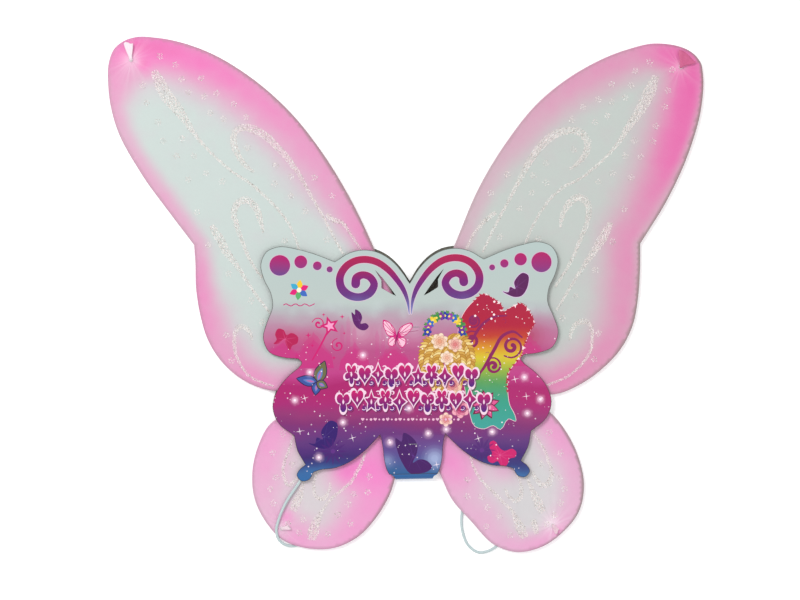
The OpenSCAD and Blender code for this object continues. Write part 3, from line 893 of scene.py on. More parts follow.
# Dots of glitter, each shaped like a small flower
DOTS = {
    "upper_left": [
        (-248, 306), (-233, 298), (-208, 285), (-227, 284), (-265, 278), (-220, 271), (-193, 270),
        (-205, 267), (-261, 261), (-176, 260), (-199, 251), (-186, 245), (-164, 247), (-250, 242),
        (-245, 224), (-226, 226), (-163, 217), (-232, 209), (-215, 209), (-135, 200), (-203, 192),
        (-220, 186), (-120, 189), (-187, 184), (-136, 182), (-120, 170), (-212, 154), (-126, 126),
        (-201, 122), (-97, 188), (-80, 170), (-106, 155), (-85, 127), (-181, 94), (-159, 68),
        (-148, 47), (-183, 34), (-178, 9),
    ],
    "upper_right": [
        (230, 300), (216, 292), (252, 293), (193, 279), (212, 278), (248, 273), (206, 266),
        (180, 264), (193, 262), (165, 257), (245, 257), (189, 248), (154, 244), (177, 242),
        (236, 238), (215, 224), (233, 223), (156, 215), (206, 209), (221, 208), (129, 202),
        (91, 191), (116, 190), (194, 192), (212, 188), (129, 183), (180, 184), (115, 173),
        (75, 173), (103, 158), (205, 157), (84, 130), (121, 128), (194, 125), (177, 98), (158, 72),
        (145, 51), (180, 36), (176, 10),
    ],
    "lower_left": [
        (-128, -62), (-138, -81), (-119, -92), (-135, -105), (-140, -116), (-137, -130),
        (-123, -150), (-108, -146), (-112, -159), (-74, -141), (-64, -131), (-59, -121),
        (-45, -119), (-44, -104), (-62, -150), (-84, -160),
    ],
    "lower_right": [
        (132, -61), (143, -81), (124, -92), (142, -105), (147, -116), (143, -130), (137, -142),
        (52, -107), (52, -123), (66, -124), (71, -134), (83, -143), (71, -153), (94, -161),
        (130, -150),
    ],
}
FLAKE_SIDES = 5
FLAKES_PER_MM2 = 2.3
PETAL_FLAKES, HEART_FLAKES = 8, 5


def flake_places(wing, draw):
    """Where each flake of a wing's veins and dots lies, and its radius."""
    spots = []
    for vein in VEINS[wing.name]:
        line = smooth_curve(vein, 10)
        along, s = headings(line[:, :2]), lengths(line[:, :2])
        strips = (line[1:, 2] + line[:-1, 2]) / 2 * np.diff(s)
        area, covered = float(np.sum(strips)), np.r_[0, np.cumsum(strips)]
        count = int(area * FLAKES_PER_MM2)
        for k in range(count):
            at = np.interp((k + draw.random()) / count * area, covered, s)
            x, y, w, tx, ty = (np.interp(at, s, column) for column in (*line.T, *along.T))
            off = ((k * 0.618 + draw.uniform(-0.12, 0.12)) % 1.0 - 0.5) * w + draw.gauss(0, 0.2)
            spots.append((x - ty * off, y + tx * off, draw.uniform(0.36, 0.6)))
    for x, y in DOTS[wing.name]:
        first = draw.uniform(0, math.tau)
        for k in range(5):
            px, py = polar(x, y, 2.3, first + math.tau * k / 5)
            for _ in range(PETAL_FLAKES):
                spots.append(
                    (px + draw.gauss(0, 0.6), py + draw.gauss(0, 0.6), draw.uniform(0.34, 0.58))
                )
        for _ in range(HEART_FLAKES):
            spots.append((x + draw.gauss(0, 0.5), y + draw.gauss(0, 0.5), draw.uniform(0.34, 0.5)))
    return spots


def glitter_mesh(wing, look):
    """Every flake of one wing, as small faceted domes of their own tint."""
    draw = random.Random(wing.name + " glitter")
    spots = flake_places(wing, draw)
    centres = np.array([(x, y) for x, y, _ in spots])
    heights = WIRE_Z + wing.rise(centres) + wing.sway(centres) - 0.12
    points, faces, tints = [], [], []
    for (x, y, r), z in zip(spots, heights):
        tint = draw.random()
        lean, tilt = draw.uniform(0, math.tau), draw.uniform(0, 0.45)
        base = len(points)
        for k in range(FLAKE_SIDES):
            size = r * draw.uniform(0.8, 1.15)
            points.append((*polar(x, y, size, lean + math.tau * k / FLAKE_SIDES), z))
        points.append((*polar(x, y, r * tilt, lean), z + r * draw.uniform(0.6, 1.1)))
        for k in range(FLAKE_SIDES):
            faces.append((base + k, base + (k + 1) % FLAKE_SIDES, base + FLAKE_SIDES))
        tints += [tint] * (FLAKE_SIDES + 1)
    made = mesh_object(f"{wing.name}_glitter", points, faces, [look], smooth=False)
    set_values(made, "grain", tints)
    fasten(made, f"{wing.side}_wings", "nylon")
    return made


# Loose tail of cloth above each tied tip: direction in degrees, length, half width, paint
TAILS = {
    "upper_left": (99, 17, 4.4, 0.15),
    "upper_right": (58, 13, 10, 0.95),
    "lower_left": (10, 7, 2.2, 0.3),
    "lower_right": (305, 7, 3.0, 0.45),
}
TAIL_ROWS, TAIL_COLS = 20, 40
NECK = 0.25  # share of the rows that stand in the tie
TAIL_BEND = 1.2


def tail(wing, look):
    """The gathered neck of cloth that comes up through the tie and lies over to one side."""
    angle, length, spread, paint = TAILS[wing.name]
    draw = random.Random(wing.name + " tail")
    way = np.array([math.cos(math.radians(angle)), math.sin(math.radians(angle)), 0])
    across = np.array([-way[1], way[0], 0])
    up = np.array([0, 0, 1.0])
    base = np.array([*wing.tip, wing.tie[0] - 0.4])
    top = wing.tie[1] + 0.15
    phase = [draw.uniform(0, math.tau) for _ in range(4)]
    points = []
    for i in range(TAIL_ROWS):
        t = i / (TAIL_ROWS - 1)
        if t < NECK:
            centre = base + up * (top - base[2]) * (t / NECK)
            lift, wide, thick = -way, TIE_R, TIE_R
        else:
            k = (t - NECK) / (1 - NECK)
            turn = min(1.0, k / 0.22) * math.pi / 2
            over = TAIL_BEND * (1 - math.cos(turn)) + max(0.0, k - 0.1) * length
            centre = np.array([*wing.tip, top]) + way * over + up * 0.55 * math.sin(turn)
            lift = up * math.sin(turn) - way * math.cos(turn)
            wide = TIE_R + (spread - TIE_R) * (k * k * (3 - 2 * k))
            thick = TIE_R + (0.35 - TIE_R) * min(1.0, k * 2)
        for j in range(TAIL_COLS):
            turn = math.tau * j / TAIL_COLS
            fold = 0.16 * math.sin(9 * turn + phase[0]) + 0.1 * math.sin(14 * turn + phase[1])
            c, s = math.cos(turn), math.sin(turn)
            ripple = 0.4 * math.sin(c * 9 + phase[2]) * max(0, t - NECK)
            height = (thick + fold * min(1, thick)) * s + ripple
            spot = centre + across * (wide * c) + lift * height
            if t > 0.6:
                wave = 3.2 * math.sin(2.5 * c + phase[3]) + draw.uniform(-0.4, 0.4)
                spot = spot + way * ((t - 0.6) * wave)
            points.append(tuple(spot))
    faces = skin(TAIL_ROWS, TAIL_COLS) + [tuple(range(len(points) - TAIL_COLS, len(points)))]
    made = mesh_object(f"{wing.name}_tip_tail", points, faces, [look])
    set_values(made, "paint", [paint] * len(points))
    bare = 1 - paint
    set_values(made, "shine", [0.6 * bare + 0.3 * bare * draw.random() for _ in points])
    fasten(made, f"{wing.side}_wings", "nylon")
    return made


sparkle = glitter("glitter_flakes")
gathered = nylon("nylon_gathered", rgb(236, 230, 232), rgb(216, 88, 148), rgb(198, 66, 122))
WINDING_STEPS, WINDING_R = 72, 1.62
for side in SIDES:
    for level in LEVELS:
        wing = Wing(level, side)
        wing.extras = [tail(wing, gathered), glitter_mesh(wing, sparkle)]
        wing.build()
        low_z, high_z = wing.tie
        winding = []
        for i in range(WINDING_STEPS + 1):
            height = low_z + (high_z - low_z) * i / WINDING_STEPS
            winding.append((*polar(*wing.tip, WINDING_R, math.tau * i / 24), height))
        tie = tube(f"{wing.name}_tip_winding", winding, 0.24, cotton, 6)
        fasten(tie, f"{side}_wings", "thread", f"{wing.name}_tip_tie")

wire_look = metal("drawn_wire", (0.62, 0.64, 0.62), 0.28, (1, 1, 1))
staple_look = metal("staple_wire", (0.46, 0.46, 0.48), 0.34, (0.2, 1, 1))
for name, node in cad.items():
    if name.endswith("_wire"):
        node.data.materials.clear()
        node.data.materials.append(wire_look)
        node.data.shade_smooth()
    elif name.startswith("staple"):
        node.data.materials.clear()
        node.data.materials.append(staple_look)


# ---------------------------------------------------------------- shapes of the print

CARD_X, CARD_TURN = -2.6, math.radians(1.1)
FRONT_Z, BOARD_T, BACK_Z, DENT_Z = 9.6, 0.8, 0.0, 0.65
AXIS = np.array([-math.sin(CARD_TURN), math.cos(CARD_TURN)])


def card_point(x, y):
    """From the card's own axes to the frame's."""
    c, s = math.cos(CARD_TURN), math.sin(CARD_TURN)
    return (CARD_X + x * c - y * s, x * s + y * c)


def mirrored(p):
    """Across the card's own axis."""
    d = np.array(p[:2], float) - (CARD_X, 0)
    q = 2 * (d @ AXIS) * AXIS - d
    return (q[0] + CARD_X, q[1], *p[2:])


def circle(x, y, r, n=24):
    return [polar(x, y, r, math.tau * k / n) for k in range(n)]


def blossom(x, y, r, petals=5, depth=0.45, turn=0.0):
    out = []
    for k in range(petals * 8):
        a = math.tau * k / (petals * 8)
        out.append(polar(x, y, r * (1 - depth * (1 - abs(math.sin(petals * a / 2)))), a + turn))
    return out


def star(x, y, r, points=4, inner=0.16, turn=0.0):
    return [
        polar(x, y, r * inner if k % 2 else r, math.pi * k / points + turn + math.pi / 2)
        for k in range(points * 2)
    ]


def heart(x, y, size):
    out = []
    for k in range(28):
        t = -math.tau * k / 28
        v = 13 * math.cos(t) - 5 * math.cos(2 * t) - 2 * math.cos(3 * t) - math.cos(4 * t) + 2
        out.append((x + 16 * math.sin(t) ** 3 * size / 16, y + v * size / 16))
    return out


def leaf(x, y, length, width, turn):
    """A pointed petal that starts at x, y."""
    out = [(k / 12 * length, width / 2 * math.sin(math.pi * (k / 12) ** 0.8)) for k in range(13)]
    out += [(u, -v) for u, v in reversed(out[1:-1])]
    c, s = math.cos(turn), math.sin(turn)
    return [(x + u * c - v * s, y + u * s + v * c) for u, v in out]


def stroke(points, per_span=5):
    """The outline of a brush stroke through points with their widths."""
    line = smooth_curve(points, per_span)
    middle, half = line[:, :2], line[:, 2:3] / 2
    along = headings(middle)
    off = np.stack([-along[:, 1], along[:, 0]], 1) * half
    arc = [math.pi * k / 6 for k in range(1, 6)]
    ahead = along * half
    tip = [tuple(middle[-1] + off[-1] * math.cos(a) + ahead[-1] * math.sin(a)) for a in arc]
    cap = [tuple(middle[0] - off[0] * math.cos(a) - ahead[0] * math.sin(a)) for a in arc]
    return [tuple(p) for p in middle + off] + tip + [tuple(p) for p in (middle - off)[::-1]] + cap


def curl(x, y, r, turns, width, turn=0.0, way=1):
    """A spiral stroke that opens outwards from x, y."""
    steps = max(6, int(turns * 10))
    out = []
    for k in range(steps + 1):
        t = k / steps
        spot = polar(x, y, r * (0.15 + 0.85 * t), turn + way * math.tau * turns * t)
        out.append((*spot, width * (1.2 - 0.8 * t)))
    return stroke(out, 2)


def rounded(loop, per_span=3):
    """A closed outline drawn smoothly through its points."""
    loop = list(loop)
    line = smooth_curve(loop[-2:] + loop + loop[:2], per_span)
    return [tuple(p) for p in line[2 * per_span : (2 + len(loop)) * per_span]]


def grown(loop, d):
    p = np.array(anticlockwise(loop), float)
    return [tuple(q) for q in p + normals(p) * d]


def placed(loop, x, y, size, turn):
    """A copy of a shape, centred at x, y and as wide as size."""
    p = np.array(loop, float)
    p = (p - (p.min(0) + p.max(0)) / 2) * size / np.ptp(p[:, 0])
    c, s = math.cos(turn), math.sin(turn)
    return [(x + u * c - v * s, y + u * s + v * c) for u, v in p]


def shifted(loop, dx, dy):
    return [(x + dx, y + dy) for x, y in loop]


# ---------------------------------------------------------------- inks


def tone(colour):
    """An ink's own colour: what shows, less the card's shine."""
    return tuple(max(0.002, (c - 0.026) / 1.04) for c in rgb(*colour))


def flat(colour, alpha=1.0):
    value = np.array([*tone(colour), alpha])
    return lambda x, y: value


def shaded(*stops):
    """Colours that change with height."""
    heights = [y for y, _ in stops]
    columns = list(zip(*[tone(c) for _, c in stops]))
    return lambda x, y: np.array([*(np.interp(y, heights, c) for c in columns), 1.0])


def glow(cx, cy, r, colour, alpha):
    value = tone(colour)

    def ink(x, y):
        near = max(0.0, 1 - math.hypot(x - cx, y - cy) / r)
        return np.array([*value, alpha * near**1.5])

    return ink


class Print(list):
    """Shapes in the order in which they are printed, each with its ink."""

    def add(self, shape, ink, alpha=1.0):
        self.append((shape, flat(ink, alpha) if isinstance(ink, tuple) else ink))

    def halo(self, x, y, r, colour, alpha, shares=(1, 0.8, 0.6, 0.4, 0.2), sides=24):
        """A soft spot of light, in rings that give its fading enough points."""
        for share in shares:
            self.add(circle(x, y, r * share, sides), glow(x, y, r, colour, alpha))

    def butterfly(self, shape, colour, light, edge=None):
        """A butterfly with paler veins in its wings."""
        shape = rounded(shape)
        if edge:
            self.add(grown(shape, 0.6), edge)
        self.add(shape, colour)
        p = np.array(shape)
        centre = p.mean(0)
        for k in range(2, len(shape), 5):
            end = centre + (p[k] - centre) * 0.8
            vein = [(*centre, 0.7), (*((centre + end) / 2), 0.6), (*end, 0.25)]
            self.add(stroke(vein, 2), light)


# ---------------------------------------------------------------- the print on the card

PALE = flat((243, 214, 230))
SIDE_BUTTERFLY = [
    (86.1, 76.7), (91.9, 75.9), (93.4, 81.1), (98.6, 79), (97.3, 85.2), (100.2, 90.4),
    (105.9, 94.8), (111.1, 92.5), (111.4, 85.2), (109.1, 77.9), (104.4, 72.2), (98.1, 71.2),
    (91.9, 73.3),
]
SMALL_BUTTERFLY = [
    (-60.7, 56.6), (-57.7, 53.9), (-57.3, 59.2), (-52.7, 56.6), (-50.5, 50.7), (-52.1, 45.3),
    (-46.8, 45.8), (-44.1, 42.6), (-47.8, 38.8), (-53.2, 39.7), (-58, 44.2), (-60.2, 50.7),
]
TONGUE_BUTTERFLY = [
    (-17.8, -66), (-12.3, -69.6), (-10.3, -61), (-2.2, -65), (3.3, -73.1), (2.3, -82.2),
    (-1.2, -90.2), (4.9, -86.9), (12.7, -88.3), (17.6, -94.5), (12.2, -99.1), (5.9, -102.5 + 2),
    (-3.9, -100.5), (-10.5, -92), (-15.8, -80),
]
TOP_BUTTERFLY = [
    (-132.1, 40.5), (-126.7, 38.8), (-124, 34), (-119.8, 36.2), (-112.8, 31.9), (-113.9, 26),
    (-118.7, 23.8), (-120.8, 19.5), (-124.6, 24.9), (-126.2, 30.3), (-132.1, 26), (-136.9, 25.4),
    (-133.7, 29.7), (-135.3, 34.6),
]
LOW_BUTTERFLY = [
    (74, -70), (77.5, -68.5), (84, -76.5), (88, -78.5), (95.5, -76.5), (99.5, -79.5), (98.5, -84.5),
    (92.5, -86.5), (91.5, -90.5), (86, -95), (83.5, -91.5), (81.5, -88.5), (76.5, -90.5), (72, -88),
    (71.5, -84), (76, -81.5), (73.5, -75.5),
]
TONGUE = [
    (-30, -63), (30, -63), (29, -84), (24.5, -99), (18.5, -106.4), (-24, -106.4), (-29, -94),
    (-31, -76),
]
PALE_BUTTERFLY = [
    [(-30, 49), (-26, 48), (-21.5, 44), (-18, 38), (-18, 34), (-22, 32), (-26, 34), (-28.5, 39),
     (-30.5, 45)],
    [(-15.5, 36), (-14, 41), (-9, 44.5), (-2, 46), (-1, 42.5), (-4, 38), (-8, 34), (-13, 32)],
    [(-20, 33), (-25, 30), (-24.5, 24), (-20.5, 23), (-17.5, 29)],
    [(-13, 32), (-8.5, 31), (-8, 26), (-12, 21.5), (-15, 25), (-16, 31)],
]
SHOW_WING = [
    (44.5, 46.7), (50.2, 58.2), (58.6, 67.5), (67.9, 74.3), (75.2, 70.7), (82.5, 65.5),
    (85.8, 60.8), (85.1, 56.6), (95, 61.3), (104.9, 64.4), (110.6, 59.2), (114.8, 51.9),
    (116.9, 45.2), (112.7, 38.4), (109.6, 30.1), (106.4, 21.7), (104.4, 14.4), (100.2, 9.2),
    (91.3, -3.9), (90.8, -11.7), (91.3, -24.4), (93, -34), (98, -44), (99, -49.5), (92, -47),
    (83.9, -57.6), (77.1, -53.7), (68, -57), (59.5, -54.7), (54, -40), (50, -20), (46, 5), (43, 28),
]
SPIRAL = [
    (-56.9, 83.9, 8.6), (-55.9, 89.8, 8.2), (-50.5, 92.7, 7.1), (-43.5, 90.9, 7.1),
    (-38.9, 83.9, 7.3), (-42.5, 75.9, 7.9), (-53.2, 71.1, 7.5), (-63.4, 73.2, 7.9),
    (-70.4, 79.6, 7.9), (-72.3, 89.3, 7.5), (-66.6, 100.6, 7.1), (-56.9, 106.5, 6.9),
    (-47.8, 107.8, 6.9), (-37.1, 105.6, 6.7), (-26.4, 98.8, 6.2), (-16.7, 88, 5.4),
    (-10.2, 78, 4.5), (-6.2, 66.8, 2.8), (-4.7, 54.9, 0.6),
]
BALLS = [
    (-130.7, 102, 10), (-110.3, 105.4, 6.2), (-94.2, 101.6, 4.2), (-82.2, 98.1, 2.9),
    (124, 105.2, 9.8), (103.7, 108, 6), (87.9, 103.9, 4), (76, 100.1, 2.8),
]
SPARKS = [
    (-49.8, 14.6), (-101.5, -2), (-116.1, -29.3), (-69.3, -50.8), (-23.4, -70.3), (13.7, -61.5),
    (123, -28.3), (110.3, -42), (107.4, -6.8), (-4.9, -37.1), (-92.7, -84.9), (31.2, -57.6),
    (76.1, -60),
]
STARS = [
    (-106.4, -27.3), (98.2, -8.8), (-111.3, -59.5), (62.5, -66.4), (109.3, -25.4), (-60, -66),
    (22, -92),
]
SPIRAL_TONES = [
    (55, (128, 140, 190)), (62, (116, 116, 174)), (72, (104, 64, 130)), (87, (124, 42, 120)),
    (97, (156, 16, 96)), (111, (176, 8, 86)),
]
TONGUE_TONES = [
    (-106, (44, 98, 148)), (-98, (64, 102, 150)), (-90, (86, 98, 152)), (-82, (96, 84, 146)),
    (-72, (108, 80, 142)), (-63, (114, 68, 130)),
]
# Soft spots: x, y, radius, colour, strength
MISTS = [
    (-52, 38, 24, (214, 184, 200), 0.3), (-26, 38, 24, (214, 180, 198), 0.34),
    (0, 40, 22, (212, 176, 196), 0.3), (-122, 31, 20, (198, 30, 104), 0.4),
    (-100, 28, 20, (198, 34, 108), 0.34), (112, 34, 26, (176, 24, 84), 0.5),
]
# Hills: x, foot, width, height; towers: x, foot, height
HILLS = [
    (-128, 12, 34, 20), (-98, 10, 40, 26), (-58, 8, 30, 18), (-20, 5, 36, 22), (112, 12, 34, 22),
]
TOWERS = [(-70, 16, 22), (-64, 16, 30), (-58, 16, 20), (-36, 14, 18), (-30, 14, 26)]
RAINBOW = [
    (-58, (72, 164, 156)), (-30, (66, 160, 136)), (-12, (90, 158, 96)), (0, (150, 178, 72)),
    (12, (216, 196, 62)), (22, (216, 150, 52)), (32, (194, 74, 56)), (43, (178, 32, 68)),
    (74, (172, 22, 74)),
]
# Curls on the big wing: x, y, radius, first angle, which way it winds
CURLS = [
    (95, 23, 11.5, 0.9, -1), (77, 4, 8.5, 5.2, 1), (56, 29, 9.5, 4.2, -1), (72, 15, 5.5, 2.4, 1),
    (88, 47, 5.5, 2.0, 1), (58, 48, 6.5, 1.2, -1), (72, 36, 6, 3.0, -1), (62, 5, 6, 3.4, -1),
]
STEMS = [
    [(62, -6, 1.6), (69, 4, 3.0), (78, 20, 3.4), (87, 34, 3.0), (97, 37.5, 2.4), (105, 32, 1.6)],
    [(50, 16, 1.4), (58, 32, 2.8), (66, 44, 2.8), (78, 52, 2.2), (90, 53, 1.2)],
]
FRONDS = [
    [(30, 30), (14, 26), (9, 10), (13, -10)], [(30, 28), (19, 20), (14, 4), (20, -16)],
    [(32, 30), (48, 28), (55, 12), (52, -8)], [(31, 28), (42, 20), (46, 4), (43, -16)],
    [(30, 24), (24, 10), (28, -6), (24, -26)], [(31, 24), (36, 10), (34, -6), (40, -24)],
]
GOLDS = [(196, 146, 66), (226, 188, 106), (240, 216, 150), (210, 164, 84)]
# Roses: x, y, radius, light, dark, petals
ROSES = [
    (69, -34, 7, (240, 160, 190), (196, 60, 120)),
    (25, 28, 8.5, (246, 220, 196), (230, 160, 130), 7),
    (40, 25, 7.5, (244, 206, 186), (222, 130, 130)),
    (32, 12, 7, (250, 226, 204), (236, 176, 150)),
    (37, -14, 10, (240, 196, 172), (206, 100, 120), 7),
    (25, -27, 7.5, (248, 190, 200), (206, 70, 120)),
    (45, -38, 9, (242, 170, 186), (190, 60, 110)),
    (31, -48, 7, (250, 212, 196), (220, 120, 130)),
]
WREATH = [
    (58, 70, 160), (120, 60, 150), (70, 140, 80), (236, 204, 70), (60, 110, 190), (150, 70, 160),
]
SMALL_STARS = [
    (-103, 34, 3), (-70, 52, 2.6), (-99, 24, 2), (-88, 54, 2), (-68, 36, 1.8), (-78, 12, 2.4),
]
BALL_TONES = [
    (91, (104, 76, 140)), (97, (132, 68, 130)), (105, (168, 42, 116)), (114, (178, 18, 104)),
]
BADGE = [
    (224, 44, 122), (244, 200, 60), (70, 170, 205), (224, 44, 122), (96, 176, 110), (70, 110, 190),
]


def border_print(out):
    """What the two faces of the card share: corner balls, spirals and loose butterflies."""
    balls = shaded(*BALL_TONES)
    for x, y, r in BALLS:
        out.add(circle(x, y, r + 0.7, 36), (206, 184, 202))
        out.add(circle(x, y, r, 36), balls)
    tones = shaded(*SPIRAL_TONES)
    for line in (SPIRAL, [mirrored(p) for p in SPIRAL]):
        out.add(stroke([(x, y, w + 1.3) for x, y, w in line]), (212, 190, 206))
        out.add(stroke(line), tones)
    lilac, rosy = flat((150, 96, 170), 0.16), flat((236, 110, 166), 0.25)
    out.butterfly(SIDE_BUTTERFLY, (96, 20, 94), lilac, (220, 190, 225))
    out.butterfly(SMALL_BUTTERFLY, (98, 36, 106), lilac)
    out.butterfly(TONGUE_BUTTERFLY, (78, 26, 104), flat((120, 80, 170), 0.16))
    out.butterfly(TOP_BUTTERFLY, (182, 14, 90), rosy)
    out.butterfly(LOW_BUTTERFLY, (206, 24, 112), rosy)
    dusk = placed(SIDE_BUTTERFLY, -88.8, -63, 29, 0.05)
    out.butterfly(dusk, (64, 34, 112), flat((110, 90, 170), 0.14))


def scene_behind(out):
    """Faint clouds, hills and towers in the middle of the front, the tongue's own blue, and painted
    highlights on the tongue.
    """
    draw = random.Random("clouds")
    for k in range(26):
        x, y, r = draw.uniform(-135, 128), draw.uniform(52, 66), draw.uniform(7, 15)
        out.halo(x, y, r, (194, 204, 204), 0.12, (1, 0.6, 0.3), 20)
    for x, y, r, colour, alpha in MISTS:
        out.halo(x, y, r, colour, alpha * 0.4)
    hill = flat((204, 42, 126), 0.34)
    for x, y, w, h in HILLS:
        top = []
        for k in range(1, 20):
            bump = draw.uniform(-1.6, 1.6)
            top.append((x - w / 2 + w * k / 20, y + h * (1 - abs(k / 10 - 1)) ** 0.8 + bump))
        foot = [(x + w / 2, y - 8), (x - w / 2, y - 8)]
        for share in (1, 0.72):
            out.add([(u, y + (v - y) * share) for u, v in top] + foot, hill)
    for x, y, h in TOWERS:
        steps = ((-1.8, 0), (1.8, 0), (1.8, h), (2.6, h), (0, h + 7), (-2.6, h), (-1.8, h))
        out.add([(x + u, y + v) for u, v in steps], (204, 60, 140), 0.18)
    out.add(TONGUE, shaded(*TONGUE_TONES))
    # Painted highlights: bluish glare where the tongue's gloss catches the light
    for x, y, r, alpha in ((20, -86, 17, 0.8), (-26, -88, 12, 0.3)):
        out.halo(x, y, r, (176, 190, 226), alpha * 0.4)


def decorated_rows(out):
    """Two rows of ornaments over a scrolled band, where the card carries its title."""
    shapes = {
        "heart": heart(0, 0.1, 1.0),
        "flower": blossom(0, 0, 1.1, 5, 0.5, math.pi / 10),
        "bud": blossom(0, 0, 1.15, 3, 0.6, math.pi / 2),
        "star": star(0, 0, 1.1, 5, 0.5),
        "diamond": star(0, 0, 1.1, 4, 0.5),
    }
    kinds = "flower heart diamond bud heart star flower diamond heart bud".split()
    for row, (x0, x1, y, count) in enumerate(((-61, 56, -5, 10), (-69, 68, -29.5, 11))):
        step = (x1 - x0) / (count - 1)
        tones = shaded((y - 11, (82, 34, 128)), (y - 3, (132, 24, 116)), (y + 10, (206, 26, 112)))
        spots = [
            (x0 + step * k, y + 1.2 * (-1) ** (k + row), kinds[(k + 3 * row) % len(kinds)])
            for k in range(count)
        ]
        ornaments, edges = (
            [
                [(x + u * size, at + v * size * 1.5) for u, v in shapes[kind]]
                for x, at, kind in spots
            ]
            for size in (6.0, 7.6)
        )
        swirls = []
        for x, at, _ in spots[:-1]:
            for way in (1, -1):
                turn = math.pi / 2 * way
                swirls.append(curl(x + step / 2, y + 7.2 * way, 3.0, 1.1, 1.9, turn, way))
        for shape in edges + swirls:
            out.add(shifted(shape, 1.0, -1.3), (104, 14, 84), 0.7)
        for shape in swirls:
            out.add(grown(shape, 0.9), PALE)
        for shape in swirls:
            out.add(shape, tones)
        for shape, edge in zip(ornaments, edges):
            out.add(edge, PALE)
            out.add(shape, tones)
        for x, at, _ in spots:
            out.add(leaf(x, at - 2.6, 5.2, 1.7, math.pi / 2), PALE)
    for k in range(24):
        x = -50 + 93 * k / 23
        shape = heart(x, -48, 1.7) if k % 3 == 0 else circle(x, -48, 0.9 if k % 3 == 1 else 1.3, 8)
        out.add(shape, (236, 184, 210))


def rose(out, x, y, r, light, dark, petals=6):
    """An open flower in rings of petals."""
    for ring in range(4):
        paint = tuple(a + (b - a) * ring / 3 for a, b in zip(light, dark))
        shape = blossom(x, y, r * (1 - ring * 0.24), petals - (ring > 1), 0.24, ring * 0.6)
        out.add(shape, tuple(c * 0.8 for c in paint))
        out.add(grown(shape, -0.35), paint)


def bouquet(out):
    """Golden fronds, a wreath of small flowers, roses and a dark-edged dahlia."""
    for number, points in enumerate(FRONDS):
        line = smooth_curve(points, 6)
        along = np.gradient(line, axis=0)
        for k in range(len(line)):
            way = math.atan2(along[k][1], along[k][0])
            size = 9.5 - 4.5 * k / len(line)
            for side in (1, -1):
                shape = leaf(line[k][0], line[k][1], size, 3.0, way + side * 0.75)
                out.add(grown(shape, 0.35), (160, 104, 44))
                out.add(shape, GOLDS[(k + number + side) % 4])
    for k in range(9):
        turn = math.tau * k / 9 + 0.3
        out.add(leaf(69, -34, 15, 7.5, turn), (112, 24, 72))
        out.add(leaf(69.5, -34, 13, 5.4, turn), (226, 96, 150))
    for values in ROSES:
        rose(out, *values)
    for k in range(13):
        turn = math.pi * (0.02 + 0.96 * k / 12)
        x, y = polar(30, 36, 17, turn)
        out.add(leaf(x, y, 6.5, 3.4, turn + 0.7), (64, 128, 70))
        out.add(leaf(x, y, 6.5, 3.4, turn - 0.7), (96, 150, 84))
        out.add(blossom(x, y, 4.2, 5, 0.4, k), WREATH[k % 6])
        out.add(circle(x, y, 1.2, 8), (248, 222, 110))


def big_wing(out):
    """A rainbow wing with curls and a ragged glittering edge."""
    shape = rounded(SHOW_WING)
    out.add(grown(shape, 0.5), (246, 206, 214))
    out.add(shape, shaded(*RAINBOW))
    red = flat((140, 22, 96))
    for x, y, r, turn, way in CURLS:
        out.add(curl(x, y, r, 1.5, 3.6, turn, way), red)
    for line in STEMS:
        out.add(stroke(line), red)
    draw = random.Random("wing dots")
    for _ in range(30):
        x, y = draw.uniform(50, 113), draw.uniform(40, 72)
        if inside(np.array([(x, y)]), grown(shape, -1.0))[0]:
            out.add(circle(x, y, draw.choice((0.4, 0.5, 0.7, 1.2)), 7), (252, 232, 234))
    for k in range(6, 60):
        colour = (250, 224, 228) if k % 5 == 0 else (176, 24, 70)
        out.add(star(*shape[k], draw.uniform(1.2, 2.6), 3, 0.35, draw.uniform(0, 2)), colour)


